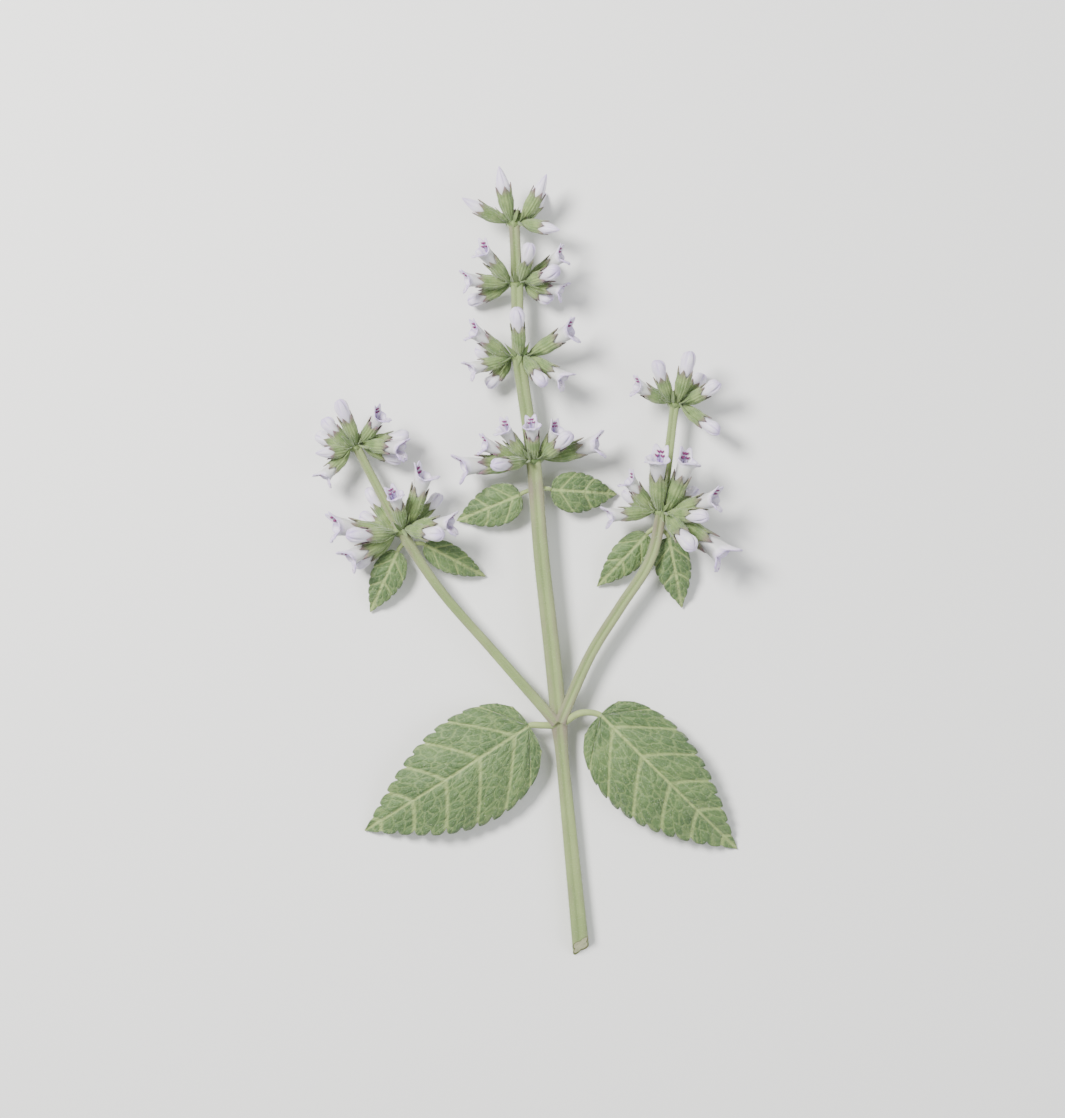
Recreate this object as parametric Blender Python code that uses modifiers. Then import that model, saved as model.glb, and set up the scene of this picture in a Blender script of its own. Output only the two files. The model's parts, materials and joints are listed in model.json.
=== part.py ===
"""Catnip sprig, cut and laid on a flat surface, as a set of closed solids.

The main stem lies along +Y with its cut foot at -Y. It carries two big leaves and two
side branches at one node, a pair of small leaves on each shoot, and eight whorls of
flowers. Lengths below are in millimetres, and MM turns them into Blender's metres.
"""

import math

import bmesh
import bpy
from mathutils import Matrix, Vector

MM = 0.001
UP = Vector((0, 0, 1))

# Gap that two neighbouring solids keep where they meet.
CLEARANCE = 0.3

# Heights of the shoots' middle lines over the surface that the sprig lies on.
FOOT_HEIGHT = 1.85
NODE_HEIGHT = 4.3
WHORL_HEIGHT = 6.3

# Shoots: stations of (across, along, width), from the root or the cut to the last whorl.
# The node with the big leaves is at 0, 0.
MAIN_STEM = [
    (1.1, -56.0, 3.7),
    (1.0, -51.0, 3.7),
    (1.0, -46.0, 3.6),
    (0.9, -28.0, 3.2),
    (0.8, -10.0, 2.9),
    (0.8, 0.0, 3.5),
    (0.7, 14.0, 3.6),
    (0.3, 36.0, 3.4),
    (0.5, 56.6, 3.1),
    (-0.5, 79.4, 2.9),
    (0.5, 95.6, 2.5),
    (1.1, 108.8, 2.2),
]
LEFT_BRANCH = [
    (0.2, -1.6, 2.4),
    (-12.6, 16.0, 2.1),
    (-22.6, 30.0, 2.1),
    (-29.9, 43.8, 2.1),
    (-38.1, 63.2, 1.8),
]
RIGHT_BRANCH = [
    (1.0, -1.6, 2.5),
    (8.9, 12.4, 2.4),
    (16.6, 22.6, 2.4),
    (23.8, 31.9, 2.3),
    (27.4, 42.6, 2.2),
    (32.6, 66.0, 1.8),
]
SHOOTS = {
    "main_stem": (MAIN_STEM, FOOT_HEIGHT, WHORL_HEIGHT),
    "left_branch": (LEFT_BRANCH, NODE_HEIGHT, WHORL_HEIGHT - 0.4),
    "right_branch": (RIGHT_BRANCH, NODE_HEIGHT, WHORL_HEIGHT - 0.4),
}
POINTS_PER_SPAN = 3
FLAT_SPANS = 2  # spans of the main stem that lie flat on the surface at its foot
CORNER_SHARE = 0.42  # part of a square stem's half width that its bevelled corners take

# Slanting cut across the foot of the main stem: a point on it and the way it faces.
CUT_POINT = (0.9, -51.3, FOOT_HEIGHT)
CUT_FACING = (0.35, -0.75, 0.62)

# Flowers. Lengths along a flower are shares of its own length, and radii are those of one of
# the usual length: a longer flower is fuller too.
USUAL_LENGTH = 12.5
CALYX_SIDES = 10  # two for each of its five teeth
CALYX_MOUTH = 0.55
CALYX_RADIUS = 1.75
TOOTH = 0.13
COROLLA_SIDES = 10
BUD_SIDES = 8
LIP_THICKNESS = 0.6
BEND = 0.10  # how far a flower's tip bends towards its upper lip
RING_LENGTH = 2.8
RING_WALL = 1.0
RING_SIDES = 8

# Each whorl: its shoot, its station on it, and its flowers as
# (bearing in plan from +X, reach in plan, rise over the surface in degrees, kind).
OPEN, YOUNG, BUD = "open", "young", "bud"
LIP_REACH = {OPEN: 1.9, YOUNG: 0.6, BUD: 0.0}  # how far a tip stands over its flower's middle line
WHORLS = {
    "main_whorl_1": ("main_stem", 11, [
        (154, 12.4, 20, BUD), (100, 12.1, 26, BUD), (50, 12.5, 14, BUD), (-28, 10.2, 30, BUD),
        (40, 10.0, -29, BUD),
    ]),
    "main_whorl_2": ("main_stem", 10, [
        (133, 11.7, 34, OPEN), (63, 8.6, 48, YOUNG), (25, 12.7, 16, OPEN), (1, 9.3, 42, YOUNG),
        (-24, 11.1, 12, OPEN), (-50, 8.3, -8, YOUNG), (177, 12.3, 14, OPEN), (205, 11.4, -18, YOUNG),
        (20, 9.6, -26, YOUNG),
    ]),
    "main_whorl_3": ("main_stem", 9, [
        (88, 10.4, 36, YOUNG), (146, 12.9, 22, OPEN), (197, 12.1, 15, OPEN), (234, 9.3, -8, YOUNG),
        (19, 14.1, 20, OPEN), (-43, 12.1, 18, OPEN), (-66, 8.4, 32, YOUNG),
        (170, 9.8, -25, YOUNG),
    ]),
    "main_whorl_4": ("main_stem", 8, [
        (88, 9.6, 40, OPEN), (126, 11.2, 34, OPEN), (158, 12.6, 18, OPEN), (185, 17.4, 10, OPEN),
        (193, 8.9, 46, YOUNG), (49, 9.8, 34, OPEN), (25, 9.9, 44, YOUNG), (5, 16.1, 12, OPEN),
        (165, 9.8, -24, YOUNG), (18, 9.8, -24, YOUNG),
    ]),
    "left_whorl_1": ("left_branch", 4, [
        (104, 10.7, 34, YOUNG), (134, 9.1, 24, YOUNG), (41, 9.8, 32, OPEN), (-3, 11.9, 8, YOUNG),
        (-18, 11.2, 26, OPEN), (193, 8.7, 30, BUD), (228, 10.9, 10, OPEN),
        (160, 9.4, -24, YOUNG), (-37, 10.3, -4, YOUNG),
    ]),
    "left_whorl_2": ("left_branch", 3, [
        (94, 10.0, 42, OPEN), (121, 12.0, -6, YOUNG), (61, 15.0, 20, OPEN), (172, 16.1, 18, OPEN),
        (184, 11.6, 36, YOUNG), (208, 14.3, 14, OPEN), (-5, 12.3, 24, OPEN), (-22, 9.2, 42, YOUNG),
        (155, 9.8, -25, YOUNG), (33, 11.8, -16, YOUNG), (219, 13.2, -8, YOUNG),
    ]),
    "right_whorl_1": ("right_branch", 5, [
        (154, 10.4, 22, OPEN), (110, 10.3, 30, YOUNG), (69, 11.8, 26, YOUNG), (16, 10.6, 24, YOUNG),
        (-49, 11.5, 16, YOUNG),
        (40, 9.4, -25, YOUNG),
    ]),
    "right_whorl_2": ("right_branch", 4, [
        (89, 14.2, 32, OPEN), (59, 14.8, 24, OPEN), (130, 11.2, 16, OPEN), (186, 12.8, 12, OPEN),
        (6, 13.6, 26, OPEN), (-20, 9.8, 42, YOUNG), (-47, 18.6, 12, OPEN), (-66, 10.2, 40, YOUNG),
        (150, 9.4, -25, YOUNG), (25, 9.8, -26, YOUNG),
    ]),
}

# Leaves. Blade outlines are drawn along each leaf's own midrib.
BLADE_THICKNESS = 0.6
BLADE_COLUMNS = 4
VEIN_LEAVES_AT = 0.3  # share of the edge, from the base, whose veins start at the base point
BASE_LOBE = 1.2  # how far the heart-shaped base reaches back past the stalk
FULLER_SIDE = 0.06  # how much broader a blade is on its side towards the foot of the sprig
FULLER_TIP = 0.13  # how much more so a big leaf is at its tip
QUILT = 0.28  # height of the blade's bulges between its side veins
# name: shoot, stalk's foot on it, stalk's way points, blade's base and tip as
# (across, along, height), half width, side veins a side, teeth a vein, arch, droop
BIG, SMALL = (7, 2), (4, 2)
LEAVES = {
    "left_leaf": (
        (0.4, -2.3, 3.9), (-3.0, -1.8, 5.2), (-6.0, -1.7, 5.9), (-44.2, -21.6, 0.4),
        11.8, BIG, 4.2, 3.2,
    ),
    "right_leaf": (
        (1.4, -2.1, 4.0), (5.6, 0.1, 5.7), (10.1, -0.8, 6.4), (37.4, -33.2, 0.4),
        10.8, BIG, 3.8, 3.0,
    ),
    "main_left_bract": (
        (0.3, 50.2, 5.7), (-2.2, 49.6, 5.6), (-3.2, 49.1, 5.3), (-17.6, 44.8, 0.9),
        4.4, SMALL, 1.2, 1.0,
    ),
    "main_right_bract": (
        (0.7, 50.2, 5.7), (3.1, 49.9, 5.6), (4.0, 49.6, 5.3), (18.2, 47.4, 0.9),
        4.4, SMALL, 1.2, 1.0,
    ),
    "left_outer_bract": (
        (-28.9, 41.6, 5.4), (-30.6, 39.9, 5.2), (-31.2, 39.0, 5.0), (-38.5, 26.5, 0.7),
        3.6, SMALL, 1.4, 0.9,
    ),
    "left_inner_bract": (
        (-28.1, 40.6, 5.4), (-25.8, 40.5, 5.2), (-24.8, 40.0, 5.0), (-12.5, 32.0, 0.7),
        3.1, SMALL, 1.4, 0.9,
    ),
    "right_inner_bract": (
        (26.4, 39.6, 5.4), (24.4, 38.4, 5.2), (23.7, 37.8, 5.0), (12.0, 27.5, 0.7),
        3.5, SMALL, 1.4, 0.9,
    ),
    "right_outer_bract": (
        (26.6, 39.4, 5.4), (28.2, 37.6, 5.2), (28.6, 36.5, 5.0), (30.2, 21.1, 0.7),
        3.9, SMALL, 1.4, 0.9,
    ),
}

STEM_GREEN = (0.36, 0.46, 0.25, 1.0)
LEAF_GREEN = (0.24, 0.36, 0.17, 1.0)
PETAL_WHITE = (0.86, 0.82, 0.88, 1.0)


def smoothstep(share):
    share = max(0.0, min(1.0, share))
    return share * share * (3 - 2 * share)


def through(stations, per_span):
    """Points on one smooth curve through the stations, as a Catmull-Rom spline."""
    ends = [stations[0], *stations, stations[-1]]
    points = []
    for first, start, end, last in zip(ends, ends[1:], ends[2:], ends[3:]):
        for step in range(per_span):
            t = step / per_span
            points.append(tuple(
                b + 0.5 * t * (c - a + t * (2 * a - 5 * b + 4 * c - d + t * (3 * (b - c) + d - a)))
                for a, b, c, d in zip(first, start, end, last)
            ))
    return [*points, tuple(stations[-1])]


def shoot_way(shoot):
    """Middle line of a shoot: a list of (point, width) in millimetres."""
    stations, low, high = SHOOTS[shoot]
    flat = FLAT_SPANS if shoot == "main_stem" else 0
    rise_ends = max(i for whorl, i, _ in WHORLS.values() if whorl == shoot and i < len(stations) - 1)
    points = through(stations, POINTS_PER_SPAN)
    rising = (rise_ends - flat) * POINTS_PER_SPAN
    way = []
    for number, (across, along, width) in enumerate(points):
        share = smoothstep((number - flat * POINTS_PER_SPAN) / rising)
        way.append((Vector((across, along, low + (high - low) * share)), width))
    return way


def station_frame(shoot, station):
    """The point of a shoot's station, the shoot's direction there and its width."""
    way = shoot_way(shoot)
    number = station * POINTS_PER_SPAN
    before = way[max(0, number - 1)][0]
    after = way[min(len(way) - 1, number + 1)][0]
    return way[number][0], (after - before).normalized(), way[number][1]


def material(name, colour, roughness):
    made = bpy.data.materials.new(name)
    made.use_nodes = True
    shader = made.node_tree.nodes["Principled BSDF"]
    shader.inputs["Base Color"].default_value = colour
    shader.inputs["Roughness"].default_value = roughness
    return made


def keep(name, mesh, collection):
    """A new object that holds the mesh, in the collection."""
    made = bpy.data.objects.new(name, mesh)
    collection.objects.link(made)
    return made


def evaluated_mesh(source):
    """The object's shape with its modifiers or bevel applied, and welded shut."""
    graph = bpy.context.evaluated_depsgraph_get()
    mesh = bpy.data.meshes.new_from_object(source.evaluated_get(graph))
    mesh.transform(source.matrix_world)
    sheet = bmesh.new()
    sheet.from_mesh(mesh)
    bmesh.ops.remove_doubles(sheet, verts=sheet.verts, dist=1e-6)
    sheet.to_mesh(mesh)
    sheet.free()
    return mesh


def face_outwards(mesh):
    solid = bmesh.new()
    solid.from_mesh(mesh)
    bmesh.ops.recalc_face_normals(solid, faces=solid.faces)
    solid.to_mesh(mesh)
    solid.free()


def combine(target, other, operation):
    """Unites the target with an object or a collection of them, or cuts them from it, for good."""
    modifier = target.modifiers.new(operation.title(), "BOOLEAN")
    modifier.operation = operation
    modifier.solver = "MANIFOLD"
    if isinstance(other, bpy.types.Collection):
        modifier.operand_type = "COLLECTION"
        modifier.collection = other
    else:
        modifier.object = other
    bpy.context.view_layer.update()
    mesh = evaluated_mesh(target)
    target.modifiers.clear()
    target.data = mesh


def discard(*objects):
    for unwanted in objects:
        bpy.data.objects.remove(unwanted)


def square_profile():
    """Cross-section of a four-sided stem, one millimetre from middle to side, corners bevelled."""
    curve = bpy.data.curves.new("square_section", "CURVE")
    spline = curve.splines.new("POLY")
    spline.points.add(7)
    spline.use_cyclic_u = True
    near = 1 - CORNER_SHARE
    for number in range(4):
        turn = Matrix.Rotation(math.radians(90 * number), 2)
        for offset, corner in enumerate(((1, -near), (1, near))):
            x, y = turn @ Vector(corner)
            spline.points[2 * number + offset].co = (x * MM, y * MM, 0, 1)
    profile = bpy.data.objects.new("square_section", curve)
    profile.hide_render = True
    return profile


def square_rod(name, way, profile, collection, grown=0.0):
    """A four-sided rod of changing width along a way, its sides moved out by grown."""
    curve = bpy.data.curves.new(name, "CURVE")
    curve.dimensions = "3D"
    curve.twist_mode = "Z_UP"
    curve.bevel_mode = "OBJECT"
    curve.bevel_object = profile
    curve.use_fill_caps = True
    spline = curve.splines.new("POLY")
    spline.points.add(len(way) - 1)
    for point, (place, width) in zip(spline.points, way):
        point.co = (*(place * MM), 1)
        point.radius = width / 2 + grown
    drawn = keep(name + "_curve", curve, collection)
    bpy.context.view_layer.update()
    rod = keep(name, evaluated_mesh(drawn), collection)
    discard(drawn)
    face_outwards(rod.data)
    return rod


def cut_foot(stem):
    """Slices the main stem's foot off aslant and closes the cut."""
    solid = bmesh.new()
    solid.from_mesh(stem.data)
    geometry = [*solid.verts, *solid.edges, *solid.faces]
    made = bmesh.ops.bisect_plane(
        solid,
        geom=geometry,
        plane_co=Vector(CUT_POINT) * MM,
        plane_no=Vector(CUT_FACING),
        clear_outer=True,
    )
    rim = [item for item in made["geom_cut"] if isinstance(item, bmesh.types.BMEdge)]
    bmesh.ops.contextual_create(solid, geom=rim)
    bmesh.ops.recalc_face_normals(solid, faces=solid.faces)
    solid.to_mesh(stem.data)
    solid.free()


def formula_mesh(name, around, along, point, wrapped):
    """A grid primitive whose vertices a formula places: point(u, v) with u and v from 0 to 1.

    A wrapped grid closes round u, and its first and last rows are poles.
    """
    sheet = bmesh.new()
    bmesh.ops.create_grid(sheet, x_segments=around, y_segments=along, size=0.5)
    for vertex in sheet.verts:
        vertex.co = point(vertex.co.x + 0.5, vertex.co.y + 0.5) * MM
    bmesh.ops.remove_doubles(sheet, verts=sheet.verts, dist=1e-6)
    bmesh.ops.triangulate(sheet, faces=sheet.faces)
    if wrapped:
        bmesh.ops.recalc_face_normals(sheet, faces=sheet.faces)
    mesh = bpy.data.meshes.new(name)
    sheet.to_mesh(mesh)
    sheet.free()
    return mesh


def ring_rows(rows, sides):
    """point(u, v) of a solid made of rows, each a function of the angle from the upper side."""
    def point(u, v):
        row = rows[round(v * (len(rows) - 1))]
        angle = 2 * math.pi * (round(u * sides) % sides) / sides
        forward, radius = row(angle)
        return Vector((forward, -math.sin(angle) * radius, math.cos(angle) * radius))
    return point


def pole(forward):
    return lambda angle: (forward, 0.0)


def circle(forward, radius):
    return lambda angle: (forward, radius)


def calyx_rows():
    """Green tube with five teeth. Its even sides are teeth, its odd sides the notches between."""
    def rim(angle):
        tooth = round(angle / (2 * math.pi) * CALYX_SIDES) % 2 == 0
        return CALYX_MOUTH + (TOOTH if tooth else -0.01), CALYX_RADIUS * (1.08 if tooth else 0.95)
    return [
        pole(0.0),
        circle(0.3, CALYX_RADIUS),
        rim,
        pole(CALYX_MOUTH - 0.02),
    ]


def bud_rows(kind):
    """Closed corolla: a pointed bud, or a young flower's rounded cap."""
    if kind == BUD:
        return [pole(0.35), circle(0.58, 1.6), circle(0.8, 1.1), pole(1.0)]
    return [pole(0.35), circle(0.72, 1.35), circle(0.9, 1.7), pole(1.0)]


def lip_edge(angle):
    """Forward share and radius of an open corolla's edge, by the angle from its upper side."""
    degrees = round(math.degrees(min(angle, 2 * math.pi - angle)))
    return {
        0: (0.94, 1.8),
        36: (1.0, 2.3),
        72: (0.88, 1.9),
        108: (0.86, 2.4),
        144: (0.9, 3.0),
        180: (0.92, 3.3),
    }[degrees]


def open_rows(length):
    """Two-lipped corolla: tube, flaring lips with a thick edge, and a throat that goes in."""
    back = LIP_THICKNESS / length

    def edge(angle):
        return lip_edge(angle)

    def inner_edge(angle):
        forward, radius = lip_edge(angle)
        return forward + 0.3 * back, max(0.7, radius - LIP_THICKNESS)

    def lip_root(angle):
        return 0.74, 1.6

    return [pole(0.34), lip_root, edge, inner_edge, pole(0.72)]


def fullness(length):
    """Factor on the radii of a flower of this length."""
    return max(0.9, min(1.4, length / USUAL_LENGTH))


def flower_solids(label, place, length, kind, collection):
    """The calyx and the corolla of one flower, as two overlapping solids."""
    full = fullness(length)
    corolla = open_rows(length) if kind == OPEN else bud_rows(kind)
    corolla_sides = COROLLA_SIDES if kind == OPEN else BUD_SIDES
    for part, rows, sides in (
        ("calyx", calyx_rows(), CALYX_SIDES),
        ("corolla", corolla, corolla_sides),
    ):
        local = ring_rows(rows, sides)

        def point(u, v, local=local):
            spot = local(u, v)
            bent = Vector((spot.x * length, spot.y * full, spot.z * full + BEND * length * spot.x**2))
            return place @ bent

        keep(f"{label}_{part}", formula_mesh(part, sides, len(rows) - 1, point, True), collection)


def flower_place(centre, axis, width, bearing, reach, rise, kind):
    """Matrix of a flower's root, pointing along it, its upper lip towards the shoot's tip; and its length.

    The length is the one at which the flower, seen from above, ends at its reach.
    """
    turn, lift = math.radians(bearing), math.radians(rise)
    plan = Vector((math.cos(turn), math.sin(turn), 0))
    forward = Vector((
        math.cos(turn) * math.cos(lift),
        math.sin(turn) * math.cos(lift),
        math.sin(lift),
    ))
    outward = (forward - forward.dot(axis) * axis).normalized()
    side = axis.cross(forward).normalized()
    upper = forward.cross(side)
    stand = outward * (width / 2 + 0.55 * RING_WALL)
    turned = Matrix((forward, side, upper)).transposed()
    over = upper.dot(plan)
    length = (reach - stand.dot(plan) - LIP_REACH[kind] * over) / (forward.dot(plan) + BEND * over)
    return Matrix.Translation(centre + stand) @ turned.to_4x4(), length


def ring_core(name, centre, axis, width, closed, collection):
    """Short cushion round the shoot that a whorl's flowers grow from; a closed one caps its tip."""
    solid = bmesh.new()
    radius = (width / 2 + RING_WALL) * MM
    if closed:
        bmesh.ops.create_uvsphere(solid, u_segments=RING_SIDES, v_segments=5, radius=radius * 1.1)
    else:
        bmesh.ops.create_cone(
            solid,
            cap_ends=True,
            segments=RING_SIDES,
            radius1=radius,
            radius2=radius,
            depth=RING_LENGTH * MM,
        )
    placed = Matrix.Translation(centre * MM) @ axis.to_track_quat("Z", "Y").to_matrix().to_4x4()
    bmesh.ops.transform(solid, matrix=placed, verts=solid.verts)
    mesh = bpy.data.meshes.new(name)
    solid.to_mesh(mesh)
    solid.free()
    return keep(name, mesh, collection)


def build_whorl(name, stem_spaces, finish, sprig):
    """One whorl: ring and flowers joined in one solid, clear of the shoot that it sits on."""
    shoot, station, flowers = WHORLS[name]
    centre, axis, width = station_frame(shoot, station)
    last = station == len(SHOOTS[shoot][0]) - 1
    whorl = ring_core(name, centre, axis, width, last, sprig)
    pieces = bpy.data.collections.new(name + "_flowers")
    bpy.context.scene.collection.children.link(pieces)
    for number, (bearing, reach, rise, kind) in enumerate(flowers):
        place, length = flower_place(centre, axis, width, bearing, reach, rise, kind)
        flower_solids(f"{name}_flower_{number}", place, length, kind, pieces)
    combine(whorl, pieces, "UNION")
    discard(*pieces.objects)
    bpy.data.collections.remove(pieces)
    combine(whorl, stem_spaces[shoot], "DIFFERENCE")
    whorl.data.materials.append(finish)
    whorl.data.shade_smooth()
    whorl.data.set_sharp_from_angle(angle=math.radians(40))


def edge_point(share):
    """Blade's edge, for a leaf of length 1 and half width 1, from base (0) to tip (1)."""
    forward = share - BASE_LOBE * share * (1 - share) ** 7
    sideways = math.sin(math.pi * share**0.67) if share < 1 else 0.0
    return forward, sideways


def leaf_surface(base, tip, half_width, veins, teeth, arch, droop):
    """point(u, v) of a blade's middle surface: u across from edge to edge, v along the edges."""
    along = tip - base
    length = along.length
    forward = along.normalized()
    side = UP.cross(forward).normalized()
    over = forward.cross(side)
    rows = 2 * veins * teeth
    lower = -side.y

    def point(u, v):
        row = round(v * rows)
        across = 2 * u - 1
        out = abs(across)
        edge_x, edge_y = edge_point(v)
        rib_x = max(0.0, (v - VEIN_LEAVES_AT) / (1 - VEIN_LEAVES_AT))
        is_tip = row % 2 == 1
        tooth = 0.05 * (1 if is_tip else -0.6) * math.sin(math.pi * v) * (out == 1)
        x = (rib_x + (edge_x - rib_x) * out + 0.4 * tooth) * length
        fuller = FULLER_SIDE + (FULLER_TIP * v if veins > 4 else 0.0)
        y = (edge_y * out + tooth) * half_width * (1 + fuller * math.copysign(1, across * lower))
        vein = math.cos(2 * math.pi * (row - teeth) / (2 * teeth))
        body = math.sin(math.pi * min(1.0, out * 1.05)) * math.sin(math.pi * v)
        quilt = -QUILT * vein * max(0.0, body)
        run = max(0.0, min(1.0, x / length))
        groove = -0.8 * QUILT * (out == 0) * math.sin(math.pi * run)
        lift = arch * math.sin(math.pi * run) - droop * (y / half_width) ** 2 * math.sin(
            math.pi * min(1.0, 0.25 + 0.75 * run)
        )
        return base + forward * x + side * (y * math.copysign(1, across)) + over * (lift + quilt + groove)

    return point, rows


def build_leaf(name, spaces, finish, sprig):
    """One leaf: toothed, veined blade joined to its stalk, which runs on as the midrib's keel."""
    foot, bend, base, tip, half_width, (veins, teeth), arch, droop = LEAVES[name]
    foot, bend, base, tip = (Vector(spot) for spot in (foot, bend, base, tip))
    surface, rows = leaf_surface(base, tip, half_width, veins, teeth, arch, droop)
    blade = keep(name, formula_mesh(name, BLADE_COLUMNS, rows, surface, False), sprig)
    wall = blade.modifiers.new("Thickness", "SOLIDIFY")
    wall.thickness = BLADE_THICKNESS * MM
    wall.offset = 0
    big = veins > 4
    stalk_radius = 0.8 if big else 0.5
    curve = bpy.data.curves.new(name + "_stalk", "CURVE")
    curve.dimensions = "3D"
    curve.bevel_depth = stalk_radius * MM
    curve.bevel_resolution = 1
    curve.use_fill_caps = True
    keel_shares = (0.12, 0.3, 0.5, 0.7) if big else (0.15, 0.35)
    keel = [surface(0.5, VEIN_LEAVES_AT + (1 - VEIN_LEAVES_AT) * share) for share in keel_shares]
    keel = [spot - UP * 0.45 for spot in keel]
    stations = [foot, bend, base - UP * 0.38, *keel]
    way = through(stations, 2)
    spline = curve.splines.new("POLY")
    spline.points.add(len(way) - 1)
    for number, (point, spot) in enumerate(zip(spline.points, way)):
        point.co = (*(Vector(spot) * MM), 1)
        point.radius = 1 - 0.62 * smoothstep(number / (len(way) - 1))
    drawn = keep(name + "_curve", curve, sprig)
    bpy.context.view_layer.update()
    stalk = keep(name + "_stalk", evaluated_mesh(drawn), sprig)
    discard(drawn)
    blade.data = evaluated_mesh(blade)
    blade.modifiers.clear()
    combine(blade, stalk, "UNION")
    discard(stalk)
    for space in spaces:
        combine(blade, space, "DIFFERENCE")
    blade.data.materials.append(finish)
    blade.data.shade_smooth()
    blade.data.set_sharp_from_angle(angle=math.radians(35))


def centre_on_footprint(sprig):
    """Moves the whole sprig so that the middle of its footprint is the origin and it rests at 0."""
    corners = [vertex.co for part in sprig.objects for vertex in part.data.vertices]
    low = Vector(map(min, zip(*corners)))
    high = Vector(map(max, zip(*corners)))
    shift = Vector((-(low.x + high.x) / 2, -(low.y + high.y) / 2, -low.z))
    for part in sprig.objects:
        part.data.transform(Matrix.Translation(shift))


def main():
    for leftover in list(bpy.data.objects):
        bpy.data.objects.remove(leftover)
    sprig = bpy.data.collections.new("catnip_sprig")
    cutters = bpy.data.collections.new("cutters")
    for collection in (sprig, cutters):
        bpy.context.scene.collection.children.link(collection)

    stem_finish = material("catnip stem", STEM_GREEN, 0.65)
    leaf_finish = material("catnip leaf", LEAF_GREEN, 0.6)
    flower_finish = material("catnip flower", PETAL_WHITE, 0.5)

    profile = square_profile()
    cutters.objects.link(profile)
    spaces = {}
    for shoot in SHOOTS:
        way = shoot_way(shoot)
        rod = square_rod(shoot, way, profile, sprig)
        if shoot == "main_stem":
            cut_foot(rod)
        for space in spaces.values():
            combine(rod, space, "DIFFERENCE")
        rod.data.materials.append(stem_finish)
        rod.data.shade_smooth()
        rod.data.set_sharp_from_angle(angle=math.radians(30))
        end = way[-1][0] + (way[-1][0] - way[-2][0]).normalized() * CLEARANCE
        longer = [*way, (end, way[-1][1])]
        spaces[shoot] = square_rod(shoot + "_space", longer, profile, cutters, CLEARANCE)
        spaces[shoot].hide_render = True
        spaces[shoot].display_type = "WIRE"

    for name in WHORLS:
        build_whorl(name, spaces, flower_finish, sprig)
    for name in LEAVES:
        build_leaf(name, spaces.values(), leaf_finish, sprig)

    discard(*cutters.objects)
    centre_on_footprint(sprig)


main()
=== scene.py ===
"""Catnip sprig, cut and laid down: square downy stems, toothed leaves, whorls of two-lipped flowers."""

import json
import math
import random

import bmesh
import bpy
from bpy.props import FloatProperty, FloatVectorProperty, IntProperty, PointerProperty
from mathutils import Matrix, Vector

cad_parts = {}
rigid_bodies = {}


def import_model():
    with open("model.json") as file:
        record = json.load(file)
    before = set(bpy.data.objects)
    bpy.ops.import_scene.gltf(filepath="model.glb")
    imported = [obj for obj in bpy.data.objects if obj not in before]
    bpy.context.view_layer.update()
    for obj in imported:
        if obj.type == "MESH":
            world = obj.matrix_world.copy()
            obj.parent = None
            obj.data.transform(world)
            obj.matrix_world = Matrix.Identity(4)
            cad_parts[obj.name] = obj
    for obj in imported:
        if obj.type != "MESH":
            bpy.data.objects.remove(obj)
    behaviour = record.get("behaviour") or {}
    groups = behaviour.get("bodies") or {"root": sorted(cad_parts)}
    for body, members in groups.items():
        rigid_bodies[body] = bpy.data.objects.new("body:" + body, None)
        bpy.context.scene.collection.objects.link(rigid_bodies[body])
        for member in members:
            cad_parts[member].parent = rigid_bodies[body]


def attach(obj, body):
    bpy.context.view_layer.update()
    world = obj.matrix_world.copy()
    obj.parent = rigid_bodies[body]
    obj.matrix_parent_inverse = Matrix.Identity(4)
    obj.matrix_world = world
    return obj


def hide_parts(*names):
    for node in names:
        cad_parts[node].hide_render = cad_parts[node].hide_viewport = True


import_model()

bl_info = {
    "name": "Catnip Sprig",
    "version": (1, 0, 0),
    "blender": (4, 5, 0),
    "location": "3D View > Sidebar > Catnip",
    "description": "Builds a cut sprig of catnip with its leaves, whorls of flowers and fine down",
    "category": "Add Mesh",
}

MM = 0.001
UP = Vector((0, 0, 1))
BODY = "root"

# Layout, in millimetres from the node that carries the two big leaves, as in the solids.
SHIFT = Vector((1.8460, -33.7168, 0.0037))
FOOT_HEIGHT = 1.85
NODE_HEIGHT = 4.3
WHORL_HEIGHT = 6.3

# Shoots: stations of (across, along, width), from the root or the cut to the last whorl.
MAIN_STEM = [
    (1.1, -56.0, 3.7), (1.0, -51.0, 3.7), (1.0, -46.0, 3.6), (0.9, -28.0, 3.2),
    (0.8, -10.0, 2.9), (0.8, 0.0, 3.5), (0.7, 14.0, 3.6), (0.3, 36.0, 3.4),
    (0.5, 56.6, 3.1), (-0.5, 79.4, 2.9), (0.5, 95.6, 2.5), (1.1, 108.8, 2.2),
]
LEFT_BRANCH = [
    (0.2, -1.6, 2.4), (-12.6, 16.0, 2.1), (-22.6, 30.0, 2.1), (-29.9, 43.8, 2.1),
    (-38.1, 63.2, 1.8),
]
RIGHT_BRANCH = [
    (1.0, -1.6, 2.5), (8.9, 12.4, 2.4), (16.6, 22.6, 2.4), (23.8, 31.9, 2.3),
    (27.4, 42.6, 2.2), (32.6, 66.0, 1.8),
]
SHOOTS = {
    "main_stem": (MAIN_STEM, FOOT_HEIGHT, WHORL_HEIGHT),
    "left_branch": (LEFT_BRANCH, NODE_HEIGHT, WHORL_HEIGHT - 0.4),
    "right_branch": (RIGHT_BRANCH, NODE_HEIGHT, WHORL_HEIGHT - 0.4),
}
POINTS_PER_SPAN = 12
FLAT_SPANS = 2
CUT_POINT = (0.9, -51.3, FOOT_HEIGHT)
CUT_FACING = (0.35, -0.75, 0.62)

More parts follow.
